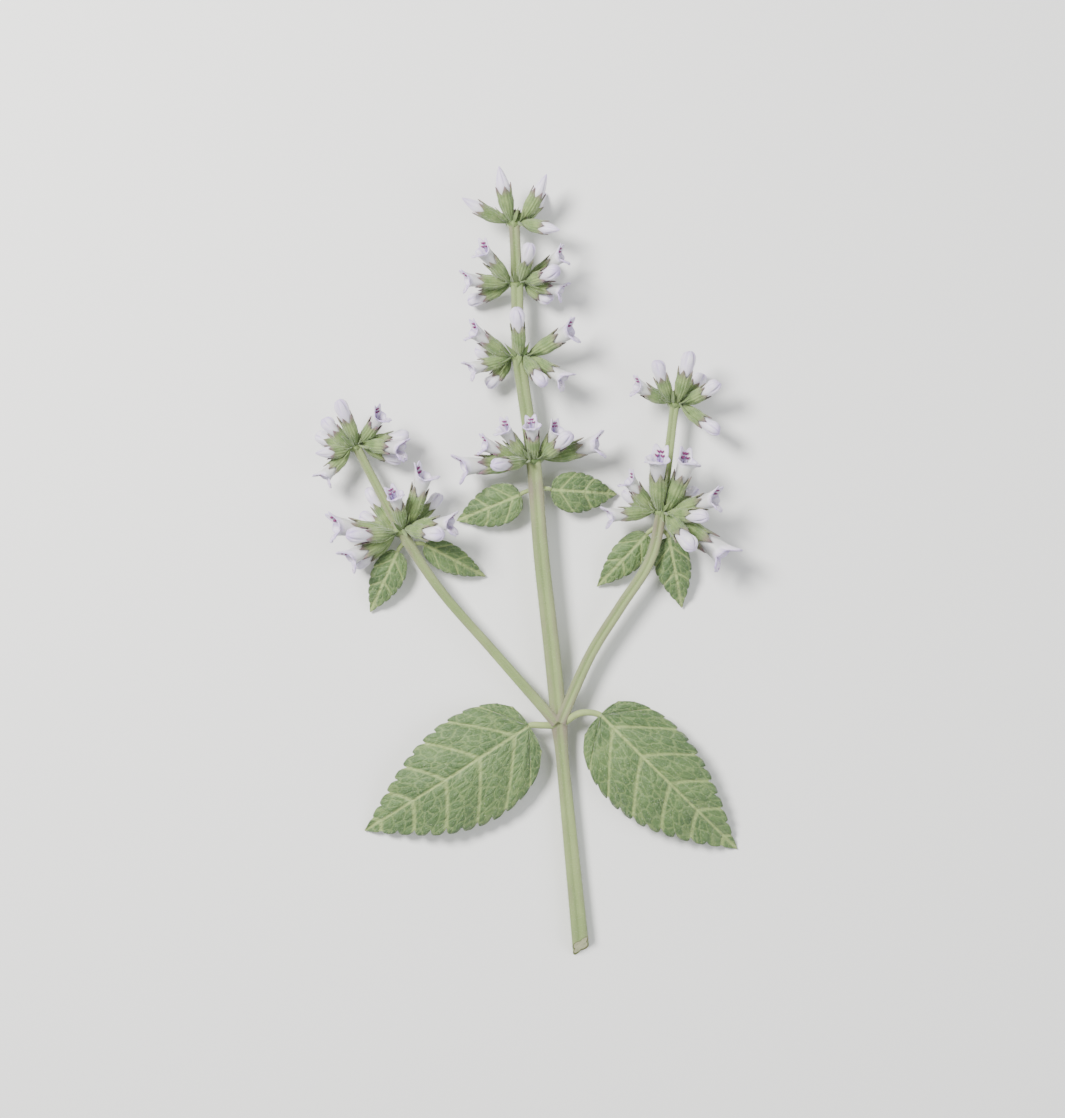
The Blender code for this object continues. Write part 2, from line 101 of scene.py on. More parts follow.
# Each ring of the cut: how much of the last ring's size is kept, its step outwards in mm, its finish.
CUT_RINGS = (
    (0.97, 0.02, 1), (0.92, 0.0, 1), (0.95, -0.12, 1), (0.93, 0.03, 2),
    (0.75, 0.04, 2), (0.65, 0.01, 2), (0.5, -0.01, 2), (0.4, -0.02, 2),
)

# Flowers: a template is as long as the usual flower, and lengths along it are shares of that.
# A longer flower is fuller too.
USUAL_LENGTH = 12.5
FULLNESS = (0.9, 1.4)
RING_WALL = 1.0
BEND = 0.10
THROAT, THROAT_RADIUS = 0.74, 1.55
CALYX_VARIANTS = 3
CALYX_RIBS = 15
CALYX_MOUTH = 0.55
CALYX_RADIUS = 1.75
TOOTH = 0.13
OPEN, YOUNG, BUD = "open", "young", "bud"
GOLDEN_TURN = 2.39996
VARIANTS = {BUD: 2, YOUNG: 4, OPEN: 6}
LIP_REACH = {OPEN: 1.9, YOUNG: 0.6, BUD: 0.0}

# Edge of an open corolla: (degrees from its upper side, share along, radius in millimetres).
OPEN_EDGE = [
    (0, 0.94, 1.8), (32, 1.0, 2.35), (66, 0.88, 1.8), (98, 0.86, 2.5),
    (124, 0.84, 2.1), (150, 0.90, 3.1), (170, 0.93, 3.4), (180, 0.91, 3.2),
]

# The four stamens: across at their tips, share along, height over the flower's middle line.
STAMENS = ((-0.55, 0.86, 0.95), (0.55, 0.86, 0.95), (-0.3, 0.91, 1.35), (0.3, 0.91, 1.35))

# Each whorl: its shoot, its station on it, and its flowers as
# (bearing in plan from +X, reach in plan, rise over the surface in degrees, kind).
WHORLS = {
    "main_whorl_1": ("main_stem", 11, [
        (154, 12.4, 20, BUD), (100, 12.1, 26, BUD), (50, 12.5, 14, BUD), (-28, 10.2, 30, BUD),
        (40, 10.0, -29, BUD),
    ]),
    "main_whorl_2": ("main_stem", 10, [
        (133, 11.7, 34, OPEN), (63, 8.6, 48, YOUNG), (25, 12.7, 16, OPEN), (1, 9.3, 42, YOUNG),
        (-24, 11.1, 12, OPEN), (-50, 8.3, -8, YOUNG), (177, 12.3, 14, OPEN), (205, 11.4, -18, YOUNG),
        (20, 9.6, -26, YOUNG),
    ]),
    "main_whorl_3": ("main_stem", 9, [
        (88, 10.4, 36, YOUNG), (146, 12.9, 22, OPEN), (197, 12.1, 15, OPEN), (234, 9.3, -8, YOUNG),
        (19, 14.1, 20, OPEN), (-43, 12.1, 18, OPEN), (-66, 8.4, 32, YOUNG),
        (170, 9.8, -25, YOUNG),
    ]),
    "main_whorl_4": ("main_stem", 8, [
        (88, 9.6, 40, OPEN), (126, 11.2, 34, OPEN), (158, 12.6, 18, OPEN), (185, 17.4, 10, OPEN),
        (193, 8.9, 46, YOUNG), (49, 9.8, 34, OPEN), (25, 9.9, 44, YOUNG), (5, 16.1, 12, OPEN),
        (165, 9.8, -24, YOUNG), (18, 9.8, -24, YOUNG),
    ]),
    "left_whorl_1": ("left_branch", 4, [
        (104, 10.7, 34, YOUNG), (134, 9.1, 24, YOUNG), (41, 9.8, 32, OPEN), (-3, 11.9, 8, YOUNG),
        (-18, 11.2, 26, OPEN), (193, 8.7, 30, BUD), (228, 10.9, 10, OPEN),
        (160, 9.4, -24, YOUNG), (-37, 10.3, -4, YOUNG),
    ]),
    "left_whorl_2": ("left_branch", 3, [
        (94, 10.0, 42, OPEN), (121, 12.0, -6, YOUNG), (61, 15.0, 20, OPEN), (172, 16.1, 18, OPEN),
        (184, 11.6, 36, YOUNG), (208, 14.3, 14, OPEN), (-5, 12.3, 24, OPEN), (-22, 9.2, 42, YOUNG),
        (155, 9.8, -25, YOUNG), (33, 11.8, -16, YOUNG), (219, 13.2, -8, YOUNG),
    ]),
    "right_whorl_1": ("right_branch", 5, [
        (154, 10.4, 22, OPEN), (110, 10.3, 30, YOUNG), (69, 11.8, 26, YOUNG), (16, 10.6, 24, YOUNG),
        (-49, 11.5, 16, YOUNG),
        (40, 9.4, -25, YOUNG),
    ]),
    "right_whorl_2": ("right_branch", 4, [
        (89, 14.2, 32, OPEN), (59, 14.8, 24, OPEN), (130, 11.2, 16, OPEN), (186, 12.8, 12, OPEN),
        (6, 13.6, 26, OPEN), (-20, 9.8, 42, YOUNG), (-47, 18.6, 12, OPEN), (-66, 10.2, 40, YOUNG),
        (150, 9.4, -25, YOUNG), (25, 9.8, -26, YOUNG),
    ]),
}

# Leaves: stalk's foot, its bend, the blade's base and tip as (across, along, height), half
# width, side veins a side, teeth a vein, arch and droop.
VEIN_LEAVES_AT = 0.3
BASE_LOBE = 1.2
FULLER_SIDE = 0.06
FULLER_TIP = 0.13
LEAF_LIES_AT = 0.25
ROWS_A_VEIN = 20
ROW_SPREAD = 1.35
BIG, SMALL = (7, 2), (4, 2)
LEAVES = {
    "left_leaf": (
        (0.4, -2.3, 3.9), (-3.0, -1.8, 5.2), (-6.0, -1.7, 5.9), (-44.2, -21.6, 0.4),
        11.8, BIG, 4.2, 3.2,
    ),
    "right_leaf": (
        (1.4, -2.1, 4.0), (5.6, 0.1, 5.7), (10.1, -0.8, 6.4), (37.4, -33.2, 0.4),
        10.8, BIG, 3.8, 3.0,
    ),
    "main_left_bract": (
        (0.3, 50.2, 5.7), (-2.2, 49.6, 5.6), (-3.2, 49.1, 5.3), (-17.6, 44.8, 0.9),
        4.4, SMALL, 1.2, 1.0,
    ),
    "main_right_bract": (
        (0.7, 50.2, 5.7), (3.1, 49.9, 5.6), (4.0, 49.6, 5.3), (18.2, 47.4, 0.9),
        4.4, SMALL, 1.2, 1.0,
    ),
    "left_outer_bract": (
        (-28.9, 41.6, 5.4), (-30.6, 39.9, 5.2), (-31.2, 39.0, 5.0), (-38.5, 26.5, 0.7),
        3.6, SMALL, 1.4, 0.9,
    ),
    "left_inner_bract": (
        (-28.1, 40.6, 5.4), (-25.8, 40.5, 5.2), (-24.8, 40.0, 5.0), (-12.5, 32.0, 0.7),
        3.1, SMALL, 1.4, 0.9,
    ),
    "right_inner_bract": (
        (26.4, 39.6, 5.4), (24.4, 38.4, 5.2), (23.7, 37.8, 5.0), (12.0, 27.5, 0.7),
        3.5, SMALL, 1.4, 0.9,
    ),
    "right_outer_bract": (
        (26.6, 39.4, 5.4), (28.2, 37.6, 5.2), (28.6, 36.5, 5.0), (30.2, 21.1, 0.7),
        3.9, SMALL, 1.4, 0.9,
    ),
}

# The photograph: its frame, what a pixel spans, and the sprig's lean in it.
PHOTO_HEIGHT = 1118
MM_PER_PIXEL = 0.22
LEAN = math.radians(5.3)
VIEW_CENTRE = (-1.7, 34.8)


def smoothstep(share):
    share = max(0.0, min(1.0, share))
    return share * share * (3 - 2 * share)


def through(stations, per_span):
    """Points on one smooth curve through the stations, as a Catmull-Rom spline."""
    ends = [stations[0], *stations, stations[-1]]
    points = []
    for first, start, end, last in zip(ends, ends[1:], ends[2:], ends[3:]):
        for step in range(per_span):
            t = step / per_span
            points.append(tuple(
                b + 0.5 * t * (c - a + t * (2 * a - 5 * b + 4 * c - d + t * (3 * (b - c) + d - a)))
                for a, b, c, d in zip(first, start, end, last)
            ))
    return [*points, tuple(stations[-1])]


def shoot_way(shoot):
    """Middle line of a shoot: a list of (point, width) in millimetres."""
    stations, low, high = SHOOTS[shoot]
    flat = FLAT_SPANS if shoot == "main_stem" else 0
    rise_ends = max(i for whorl, i, _ in WHORLS.values() if whorl == shoot and i < len(stations) - 1)
    rising = (rise_ends - flat) * POINTS_PER_SPAN
    way = []
    for number, (across, along, width) in enumerate(through(stations, POINTS_PER_SPAN)):
        share = smoothstep((number - flat * POINTS_PER_SPAN) / rising)
        way.append((Vector((across, along, low + (high - low) * share)), width))
    return way


def station_frame(shoot, station):
    """The point of a shoot's station, the shoot's direction there and its width."""
    way = shoot_way(shoot)
    number = station * POINTS_PER_SPAN
    before = way[max(0, number - 4)][0]
    after = way[min(len(way) - 1, number + 4)][0]
    return way[number][0], (after - before).normalized(), way[number][1]


def placed(point):
    """A point of the layout, in metres in the frame that the solids are in."""
    return (Vector(point) + SHIFT) * MM


# Node trees


class Field:
    """A node socket in an expression: an operator on it adds the Math node that works it out."""

    def __init__(self, tree, socket):
        self.tree = tree
        self.socket = socket

    def maths(self, operation, *values):
        return self.tree.add("ShaderNodeMath", {"operation": operation}, dict(enumerate(values)))

    def __add__(self, other):
        return self.maths("ADD", self, other)

    __radd__ = __add__

    def __sub__(self, other):
        return self.maths("SUBTRACT", self, other)

    def __mul__(self, other):
        return self.maths("MULTIPLY", self, other)

    __rmul__ = __mul__

    def __pow__(self, power):
        return self.maths("POWER", self, power)

    def __abs__(self):
        return self.maths("ABSOLUTE", self)

    def cos(self):
        return self.maths("COSINE", self)

    def sin(self):
        return self.maths("SINE", self)

    def fraction(self):
        return self.maths("FRACT", self)

    def at_least(self, other):
        return self.maths("MAXIMUM", self, other)

    def at_most(self, other):
        return self.maths("MINIMUM", self, other)

    def ramp(self, low, high):
        """0 below low, 1 above high, and a smooth step between; low may be the larger."""
        sockets = {"Value": self, "From Min": low, "From Max": high}
        return self.tree.add("ShaderNodeMapRange", {"interpolation_type": "SMOOTHSTEP"}, sockets)


def live_socket(sockets, key):
    """A node's socket by its place, or the one of that name that its settings leave in use."""
    if isinstance(key, int):
        return sockets[key]
    return next(socket for socket in sockets if socket.name == key and socket.enabled)


class Tree:
    """A node tree while it is built."""

    def __init__(self, tree):
        self.tree = tree

    def add(self, kind, settings=None, sockets=None, out=0):
        """Adds a node: its type, its settings, then the values or links of its sockets."""
        node = self.tree.nodes.new(kind)
        for name, setting in (settings or {}).items():
            setattr(node, name, setting)
        for key, given in (sockets or {}).items():
            socket = live_socket(node.inputs, key)
            if isinstance(given, Field):
                self.tree.links.new(given.socket, socket)
            elif given is not None:
                socket.default_value = given
        if not node.outputs:
            return node
        return Field(self, live_socket(node.outputs, out))

    def mix(self, share, *sides):
        """A blend of two colours, each a socket, a value or the name of one of the sprig's colours."""
        own = bpy.context.scene.catnip_colours
        first, second = (colour(getattr(own, side)) if isinstance(side, str) else side for side in sides)
        settings = {"data_type": "RGBA"}
        return self.add("ShaderNodeMix", settings, {"Factor": share, "A": first, "B": second}, "Result")

    def vector(self, x, y, z=0.0):
        return self.add("ShaderNodeCombineXYZ", {}, {"X": x, "Y": y, "Z": z})

    def part(self, vector, axis):
        return self.add("ShaderNodeSeparateXYZ", {}, {"Vector": vector}, axis)


# Finishes


def colour(rgb):
    return (*rgb, 1.0)


def object_place(tree):
    return tree.add("ShaderNodeTexCoord", {}, {}, "Object")


def noise(tree, scale, detail=3.0, where=None):
    sockets = {"Vector": where or object_place(tree), "Scale": scale, "Detail": detail, "Roughness": 0.55}
    return tree.add("ShaderNodeTexNoise", {}, sockets, "Fac")


def cells(tree, scale, feature="DISTANCE_TO_EDGE", where=None):
    sockets = {"Vector": where or object_place(tree), "Scale": scale}
    return tree.add("ShaderNodeTexVoronoi", {"feature": feature}, sockets, "Distance")


def own_value(tree, name):
    """A number that a piece carries on its points."""
    return tree.add("ShaderNodeAttribute", {"attribute_name": name}, {}, "Fac")


def blade_uv(tree):
    """Across and along of a surface's own map, as two numbers."""
    place = tree.add("ShaderNodeUVMap", {"uv_map": "blade"})
    return tuple(tree.part(place, axis) for axis in "XY")


def finish(name):
    """A material by name. Its paint function returns the shader's sockets on first use."""
    made = bpy.data.materials.get(name)
    if made:
        return made
    made = bpy.data.materials.new(name)
    made.use_nodes = True
    made.node_tree.nodes.clear()
    tree = Tree(made.node_tree)
    shader = tree.add("ShaderNodeBsdfPrincipled", {}, PAINTS[name](tree), "BSDF")
    tree.add("ShaderNodeOutputMaterial", {}, {"Surface": shader})
    return made


def bump(tree, height, strength, distance):
    sockets = {"Height": height, "Strength": strength, "Distance": distance}
    return tree.add("ShaderNodeBump", {}, sockets, "Normal")


def paint_stem(tree):
    across = own_value(tree, "ridge")
    ridge = across.ramp(0.98, 1.16)
    node = own_value(tree, "node")
    mottle = noise(tree, 60.0)
    along = tree.part(object_place(tree), "Y")
    streaks = noise(tree, 1.0, 4.0, tree.vector(across * 40.0, along * 110.0))
    green = tree.mix(mottle.ramp(0.2, 0.9), "stem", "stem_pale")
    green = tree.mix(streaks.ramp(0.38, 0.72) * 0.5, green, "stem_pale")
    flush = (ridge * 0.30 + node * 0.25) * noise(tree, 90.0).ramp(0.35, 0.7)
    return {
        "Base Color": tree.mix(flush, green, "flush"),
        "Roughness": 0.62 + mottle * 0.16,
        "Sheen Weight": 0.35,
        "Sheen Roughness": 0.5,
        "Normal": bump(tree, streaks + noise(tree, 3200.0) * 0.5, 0.35, 0.00012),
    }


def paint_pith(tree):
    pores = cells(tree, 3600.0)
    cloud = noise(tree, 900.0)
    pale = tree.mix(cloud.ramp(0.45, 0.9), "pith", "stem_pale")
    return {
        "Base Color": tree.mix(pores.ramp(0.10, 0.0) * 0.3, pale, "rind"),
        "Roughness": 0.7 + pores * 0.2,
        "Normal": bump(tree, pores, 0.5, 0.0001),
    }


def paint_rind(tree):
    cloud = noise(tree, 1500.0)
    return {
        "Base Color": tree.mix(cloud.ramp(0.3, 0.7), "stem", "rind"),
        "Roughness": 0.6 + cloud * 0.2,
        "Normal": bump(tree, cloud, 0.4, 0.0001),
    }


def leaf_veins(tree):
    """Masks on a blade: midrib, side veins and the fine net between them, from its own map.

    Across is the distance from the midrib in millimetres, and along counts the side veins.
    """
    across, along = blade_uv(tree)
    out = abs(across)
    midrib = out.ramp(0.55, 0.12)
    beside = abs(along.fraction() - 0.5)
    side = beside.ramp(0.10, 0.015) * out.ramp(0.0, 0.5)
    wander = noise(tree, 2.0, where=tree.vector(across, along))
    net_place = tree.vector(across * 0.42 + wander * 0.4, along * 2.4 + wander * 0.3)
    net = cells(tree, 1.35, where=net_place)
    fine = cells(tree, 3.6, where=net_place)
    return midrib, side, net, fine


def paint_leaf(tree):
    midrib, side, net, fine = leaf_veins(tree)
    cloud = noise(tree, 130.0)
    grain = noise(tree, 1300.0)
    green = tree.mix(cloud.ramp(0.3, 0.7), "leaf", "leaf_light")
    net_line = net.ramp(0.10, 0.0)
    fine_line = fine.ramp(0.08, 0.0)
    green = tree.mix(net_line * 0.30, green, "vein")
    green = tree.mix(fine_line * 0.12, green, "vein")
    green = tree.mix(grain.ramp(0.45, 0.8) * 0.22, green, "leaf_down")
    vein = midrib.at_least(side * 0.8)
    pillow = net.ramp(0.0, 0.45) + fine.ramp(0.0, 0.3) * 0.3
    return {
        "Base Color": tree.mix(vein * 0.8, green, "vein"),
        "Roughness": 0.55 + grain * 0.18 - vein * 0.06,
        "Sheen Weight": 0.28,
        "Sheen Roughness": 0.45,
        "Normal": bump(tree, pillow - vein * 0.5 + grain * 0.12, 0.8, 0.00028),
    }


def paint_leaf_under(tree):
    midrib, side, net, fine = leaf_veins(tree)
    cloud = noise(tree, 160.0)
    pale = tree.mix(cloud.ramp(0.3, 0.7), "leaf_under", "leaf_down")
    raised = net.ramp(0.12, 0.0) + fine.ramp(0.08, 0.0) * 0.4
    return {
        "Base Color": tree.mix(raised.at_most(1.0) * 0.5, pale, "vein"),
        "Roughness": 0.68 + cloud * 0.12,
        "Sheen Weight": 0.4,
        "Normal": bump(tree, raised + side * 0.5, 0.7, 0.00022),
    }


def paint_rib(tree):
    cloud = noise(tree, 700.0)
    return {
        "Base Color": tree.mix(cloud.ramp(0.3, 0.7), "vein", "stem_pale"),
        "Roughness": 0.6 + cloud * 0.15,
        "Sheen Weight": 0.3,
        "Normal": bump(tree, noise(tree, 2600.0), 0.3, 0.0001),
    }


def paint_calyx(tree):
    around, along = blade_uv(tree)
    ribs = (around * (2 * math.pi * CALYX_RIBS)).cos()
    tips = along.ramp(0.48, 0.68)
    cloud = noise(tree, 500.0)
    own = own_value(tree, "tint")
    green = tree.mix(cloud.ramp(0.3, 0.7), "calyx", "calyx_pale")
    green = tree.mix(ribs.ramp(0.2, 1.0) * 0.45, green, "stem")
    blush = tips * (0.35 + own * 0.55)
    return {
        "Base Color": tree.mix(blush.at_most(0.85), green, "flush"),
        "Roughness": 0.62 + cloud * 0.16,
        "Sheen Weight": 0.35,
        "Normal": bump(tree, ribs * 0.4 + noise(tree, 2800.0) * 0.6, 0.5, 0.00015),
    }


def paint_petal(tree):
    around, along = blade_uv(tree)
    own = own_value(tree, "tint")
    inside = along.ramp(1.0, 1.02)
    lower = abs(around - 0.5).ramp(0.17, 0.09)
    spots = cells(tree, 1.0, "F1", tree.vector(around * 44.0, along * 20.0, own * 9.0)).ramp(0.42, 0.26)
    band = along.ramp(1.03, 1.08) * along.ramp(1.62, 1.38)
    freckles = spots * lower * inside * band
    veins = (around * (2 * math.pi * 26)).cos().ramp(0.7, 1.0) * along.ramp(0.55, 0.95)
    # Painted shade: lilac darkening along the five creases between the folded lobes, towards the mouth.
    fold_shade = (around * (2 * math.pi * 5)).cos().ramp(0.55, 1.0) * along.ramp(0.62, 0.92)
    cloud = noise(tree, 260.0)
    white = tree.mix(cloud.ramp(0.3, 0.7), "petal", "petal_warm")
    # Painted shade: the corolla's tube is tinted greenish towards its root, down in the calyx.
    tube = along.ramp(0.75, 0.5)
    white = tree.mix(tube * 0.35, white, "calyx_pale")
    edge = abs(along - 1.0).ramp(0.14, 0.0)
    white = tree.mix(edge * (0.18 + own * 0.35), white, "lilac")
    white = tree.mix(veins * 0.16, white, "lilac")
    # Lays the painted crease shade over the petal colour.
    white = tree.mix(fold_shade * 0.34, white, "lilac")
    return {
        "Base Color": tree.mix(freckles, white, "freckle"),
        "Roughness": 0.42 + cloud * 0.16,
        "Subsurface Weight": 0.12,
        "Subsurface Radius": (0.0012, 0.0008, 0.0008),
        "Sheen Weight": 0.2,
        "Normal": bump(tree, veins * 0.4 + noise(tree, 1800.0) * 0.5, 0.35, 0.00012),
    }


def paint_filament(tree):
    cloud = noise(tree, 900.0)
    return {
        "Base Color": tree.mix(cloud.ramp(0.3, 0.7), "petal", "lilac"),
        "Roughness": 0.4 + cloud * 0.15,
        "Normal": bump(tree, cloud, 0.2, 0.0001),
    }


def paint_anther(tree):
    grains = cells(tree, 5200.0)
    return {
        "Base Color": tree.mix(grains.ramp(0.1, 0.5) * 0.45, "anther", "flush"),
        "Roughness": 0.6 + grains * 0.3,
        "Normal": bump(tree, grains, 0.6, 0.0001),
    }


def paint_down(tree):
    cloud = noise(tree, 800.0)
    return {
        "Base Color": tree.mix(cloud, "down", "leaf_down"),
        "Roughness": 0.5 + cloud * 0.2,
        "Sheen Weight": 0.4,
    }


def paint_floor(tree):
    cloud = noise(tree, 6.0)
    grain = noise(tree, 900.0)
    lighter = colour(min(1.0, part * 1.03) for part in bpy.context.scene.catnip_colours.floor)
    return {
        "Base Color": tree.mix(cloud, "floor", lighter),
        "Roughness": 0.85 + grain * 0.1,
        "Normal": bump(tree, grain, 0.05, 0.0001),
    }


PAINTS = {
    "catnip stem": paint_stem,
    "catnip pith": paint_pith,
    "catnip rind": paint_rind,
    "catnip leaf": paint_leaf,
    "catnip leaf underside": paint_leaf_under,
    "catnip rib": paint_rib,
    "catnip calyx": paint_calyx,
    "catnip petal": paint_petal,
    "catnip filament": paint_filament,
    "catnip anther": paint_anther,
    "catnip down": paint_down,
    "pale floor": paint_floor,
}


# Mesh code


def formula_mesh(name, around, along, point, mapped, wrapped):
    """A grid whose vertices a formula places, with its own map: point(u, v) and mapped(u, v)."""
    sheet = bmesh.new()
    uv = sheet.loops.layers.uv.new("blade")
    bmesh.ops.create_grid(sheet, x_segments=around, y_segments=along, size=0.5)
    for face in sheet.faces:
        for corner in face.loops:
            spot = corner.vert.co
            corner[uv].uv = mapped(spot.x + 0.5, spot.y + 0.5)
    for vertex in sheet.verts:
        vertex.co = point(vertex.co.x + 0.5, vertex.co.y + 0.5)
    bmesh.ops.remove_doubles(sheet, verts=sheet.verts, dist=1e-7)
    if wrapped:
        bmesh.ops.recalc_face_normals(sheet, faces=sheet.faces)
    mesh = bpy.data.meshes.new(name)
    sheet.to_mesh(mesh)
    sheet.free()
    mesh.shade_smooth()
    return mesh


def new_object(name, data):
    made = bpy.data.objects.new(name, data)
    bpy.context.scene.collection.objects.link(made)
    return made


def discard(*objects):
    for unwanted in objects:
        bpy.data.objects.remove(unwanted)


def plain_mesh(source, name):
    """The object's evaluated shape as a mesh of its own, with nothing live left on it."""
    bpy.context.view_layer.update()
    graph = bpy.context.evaluated_depsgraph_get()
    mesh = bpy.data.meshes.new_from_object(source.evaluated_get(graph), depsgraph=graph)
    mesh.name = name
    return mesh


def thickened(mesh, name, thickness, under):
    """A sheet given its thickness, half to each side, with an underside in another material slot."""
    sheet = new_object(name + "_sheet", mesh)
    wall = sheet.modifiers.new("Thickness", "SOLIDIFY")
    wall.thickness = thickness
    wall.offset = 0
    wall.material_offset = under
    wall.material_offset_rim = 0
    made = plain_mesh(sheet, name)
    discard(sheet)
    return made


def joined(name, meshes):
    """One object that holds all of the meshes, with their materials, maps and values."""
    names = [name, *(f"{name}_{number}" for number in range(1, len(meshes)))]
    parts = [new_object(*pair) for pair in zip(names, meshes)]
    with bpy.context.temp_override(
        active_object=parts[0],
        object=parts[0],
        selected_objects=parts,
        selected_editable_objects=parts,
    ):
        bpy.ops.object.join()
    return parts[0]


def settle(piece, slot, *nodes):
    """Hands a finished piece to the frame: what it rides on and the nodes it stands for, which it hides. The
    slot is not used.
    """
    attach(piece, BODY)
    if nodes:
        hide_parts(*nodes)


# Geometry node trees


def geometry_tree(name):
    """A Geometry Nodes tree by name, with named inputs, made on first use by its build function."""
    made = bpy.data.node_groups.get(name)
    if made:
        return made
    made = bpy.data.node_groups.new(name, "GeometryNodeTree")
    made.interface.new_socket("Geometry", in_out="INPUT", socket_type="NodeSocketGeometry")
    build, inputs = TREES[name]
    for label, kind in {**inputs, "Finish": "Material"}.items():
        made.interface.new_socket(label, in_out="INPUT", socket_type="NodeSocket" + kind)
    made.interface.new_socket("Geometry", in_out="OUTPUT", socket_type="NodeSocketGeometry")
    tree = Tree(made)
    entry = made.nodes.new("NodeGroupInput")
    given = {socket.name: Field(tree, socket) for socket in entry.outputs if socket.name}
    tree.add("NodeGroupOutput", {}, {"Geometry": build(tree, given)})
    return made


def run_tree(source, tree_name, values, name):
    """Runs a tree on an object with the named values, and returns the plain mesh that it makes."""
    tree = geometry_tree(tree_name)
    modifier = source.modifiers.new(tree.name, "NODES")
    modifier.node_group = tree
    identifiers = {
        item.name: item.identifier
        for item in tree.interface.items_tree
        if item.item_type == "SOCKET" and item.in_out == "INPUT"
    }
    for label, value in values.items():
        modifier[identifiers[label]] = value
    mesh = plain_mesh(source, name)
    source.modifiers.remove(modifier)
    return mesh


def finished(tree, geometry, given):
    """The end of every tree: real geometry with its finish."""
    real = tree.add("GeometryNodeRealizeInstances", {}, {"Geometry": geometry})
    return tree.add("GeometryNodeSetMaterial", {}, {"Geometry": real, "Material": given["Finish"]})


def unit_circle(tree, points):
    sockets = {"Resolution": points, "Radius": 1.0}
    return tree.add("GeometryNodeCurvePrimitiveCircle", {"mode": "RADIUS"}, sockets, "Curve")


def rod_along(tree, curve, section, given):
    """A section carried along curves, as large as each curve point's radius says."""
    scale = tree.add("GeometryNodeInputRadius")
    sockets = {"Curve": curve, "Profile Curve": section, "Scale": scale, "Fill Caps": True}
    rod = tree.add("GeometryNodeCurveToMesh", {}, sockets)
    return finished(tree, tree.add("GeometryNodeSetShadeSmooth", {}, {"Geometry": rod}), given)


def build_square_rod(tree, given):
    """A shoot: a four-cornered, hollow-sided section carried along a curve."""
    turn = tree.add("GeometryNodeSplineParameter", {}, {}, "Factor") * (2 * math.pi)
    square = (abs(turn.cos()) ** 6.0 + abs(turn.sin()) ** 6.0) ** (-1 / 6)
    middles = (turn * 4.0).cos().at_least(0.0) ** 2.0
    radius = square - middles * given["Hollow"]
    place = tree.add("GeometryNodeInputPosition")
    moved = tree.add("ShaderNodeVectorMath", {"operation": "SCALE"}, {0: place, "Scale": radius})
    stored = tree.add(
        "GeometryNodeStoreNamedAttribute",
        {"data_type": "FLOAT", "domain": "POINT"},
        {"Geometry": unit_circle(tree, 40), "Name": "ridge", "Value": radius},
    )
    section = tree.add("GeometryNodeSetPosition", {}, {"Geometry": stored, "Position": moved})
    upright = tree.add("GeometryNodeSetCurveNormal", {"mode": "Z_UP"}, {"Curve": given["Geometry"]})
    return rod_along(tree, upright, section, given)


def build_round_rod(tree, given):
    """Stalks and ribs: a round section carried along curves, each as thick as its points say."""
    return rod_along(tree, given["Geometry"], unit_circle(tree, given["Sides"]), given)


def named(tree, name, kind):
    return tree.add("GeometryNodeInputNamedAttribute", {"data_type": kind}, {"Name": name}, "Attribute")


def build_set_on_points(tree, given):
    """Copies of a collection's shapes, one a point, turned and sized by what the point carries."""
    copies = tree.add(
        "GeometryNodeCollectionInfo",
        {"transform_space": "ORIGINAL"},
        {"Collection": given["Copies"], "Separate Children": True, "Reset Children": True},
    )
    turned = tree.add(
        "FunctionNodeAxesToRotation",
        {"primary_axis": "X", "secondary_axis": "Z"},
        {
            "Primary Axis": named(tree, "forward", "FLOAT_VECTOR"),
            "Secondary Axis": named(tree, "upper", "FLOAT_VECTOR"),
        },
    )
    placed_copies = tree.add(
        "GeometryNodeInstanceOnPoints",
        {},
        {
            "Points": given["Geometry"],
            "Instance": copies,
            "Pick Instance": True,
            "Instance Index": named(tree, "variant", "INT"),
            "Rotation": turned,
            "Scale": named(tree, "size", "FLOAT_VECTOR"),
        },
    )
    return finished(tree, placed_copies, given)


def build_down(tree, given):
    """Fine hairs scattered over a surface, each leaning a little its own way."""
    above_floor = tree.part(tree.add("GeometryNodeInputPosition"), "Z").ramp(0.0004, 0.0012)
    points = tree.add(
        "GeometryNodeDistributePointsOnFaces",
        {},
        {"Mesh": given["Geometry"], "Density": given["Density"] * above_floor, "Seed": given["Seed"]},
        "Points",
    )
    upright = Field(tree, points.socket.node.outputs["Rotation"])
    hair = tree.add(
        "GeometryNodeMeshCone",
        {"fill_type": "NONE"},
        {
            "Vertices": 3,
            "Side Segments": 1,
            "Radius Top": 0.0,
            "Radius Bottom": given["Width"] * 0.5,
            "Depth": given["Length"],
        },
        "Mesh",
    )
    lean = given["Lean"]
    corner = tree.vector(lean, lean, math.pi)
    far = tree.add("ShaderNodeVectorMath", {"operation": "SCALE"}, {0: corner, "Scale": -1.0})
    tilt = tree.add(
        "FunctionNodeRandomValue",
        {"data_type": "FLOAT_VECTOR"},
        {"Min": far, "Max": corner, "Seed": given["Seed"]},
        "Value",
    )
    tilted = tree.add(
        "FunctionNodeRotateRotation",
        {"rotation_space": "LOCAL"},
        {"Rotation": upright, "Rotate By": tree.add("FunctionNodeEulerToRotation", {}, {"Euler": tilt})},
    )
    scale = tree.add(
        "FunctionNodeRandomValue",
        {"data_type": "FLOAT"},
        {"Min": 0.5, "Max": 1.25, "Seed": 3},
        "Value",
    )
    hairs = tree.add(
        "GeometryNodeInstanceOnPoints",
        {},
        {"Points": points, "Instance": hair, "Rotation": tilted, "Scale": scale},
    )
    return finished(tree, hairs, given)


TREES = {
    "Square shoot": (build_square_rod, {"Hollow": "Float"}),
    "Stalk and ribs": (build_round_rod, {"Sides": "Int"}),
    "Set on points": (build_set_on_points, {"Copies": "Collection"}),
    "Down": (
        build_down,
        {"Density": "Float", "Length": "Float", "Width": "Float", "Lean": "Float", "Seed": "Int"},
    ),
}


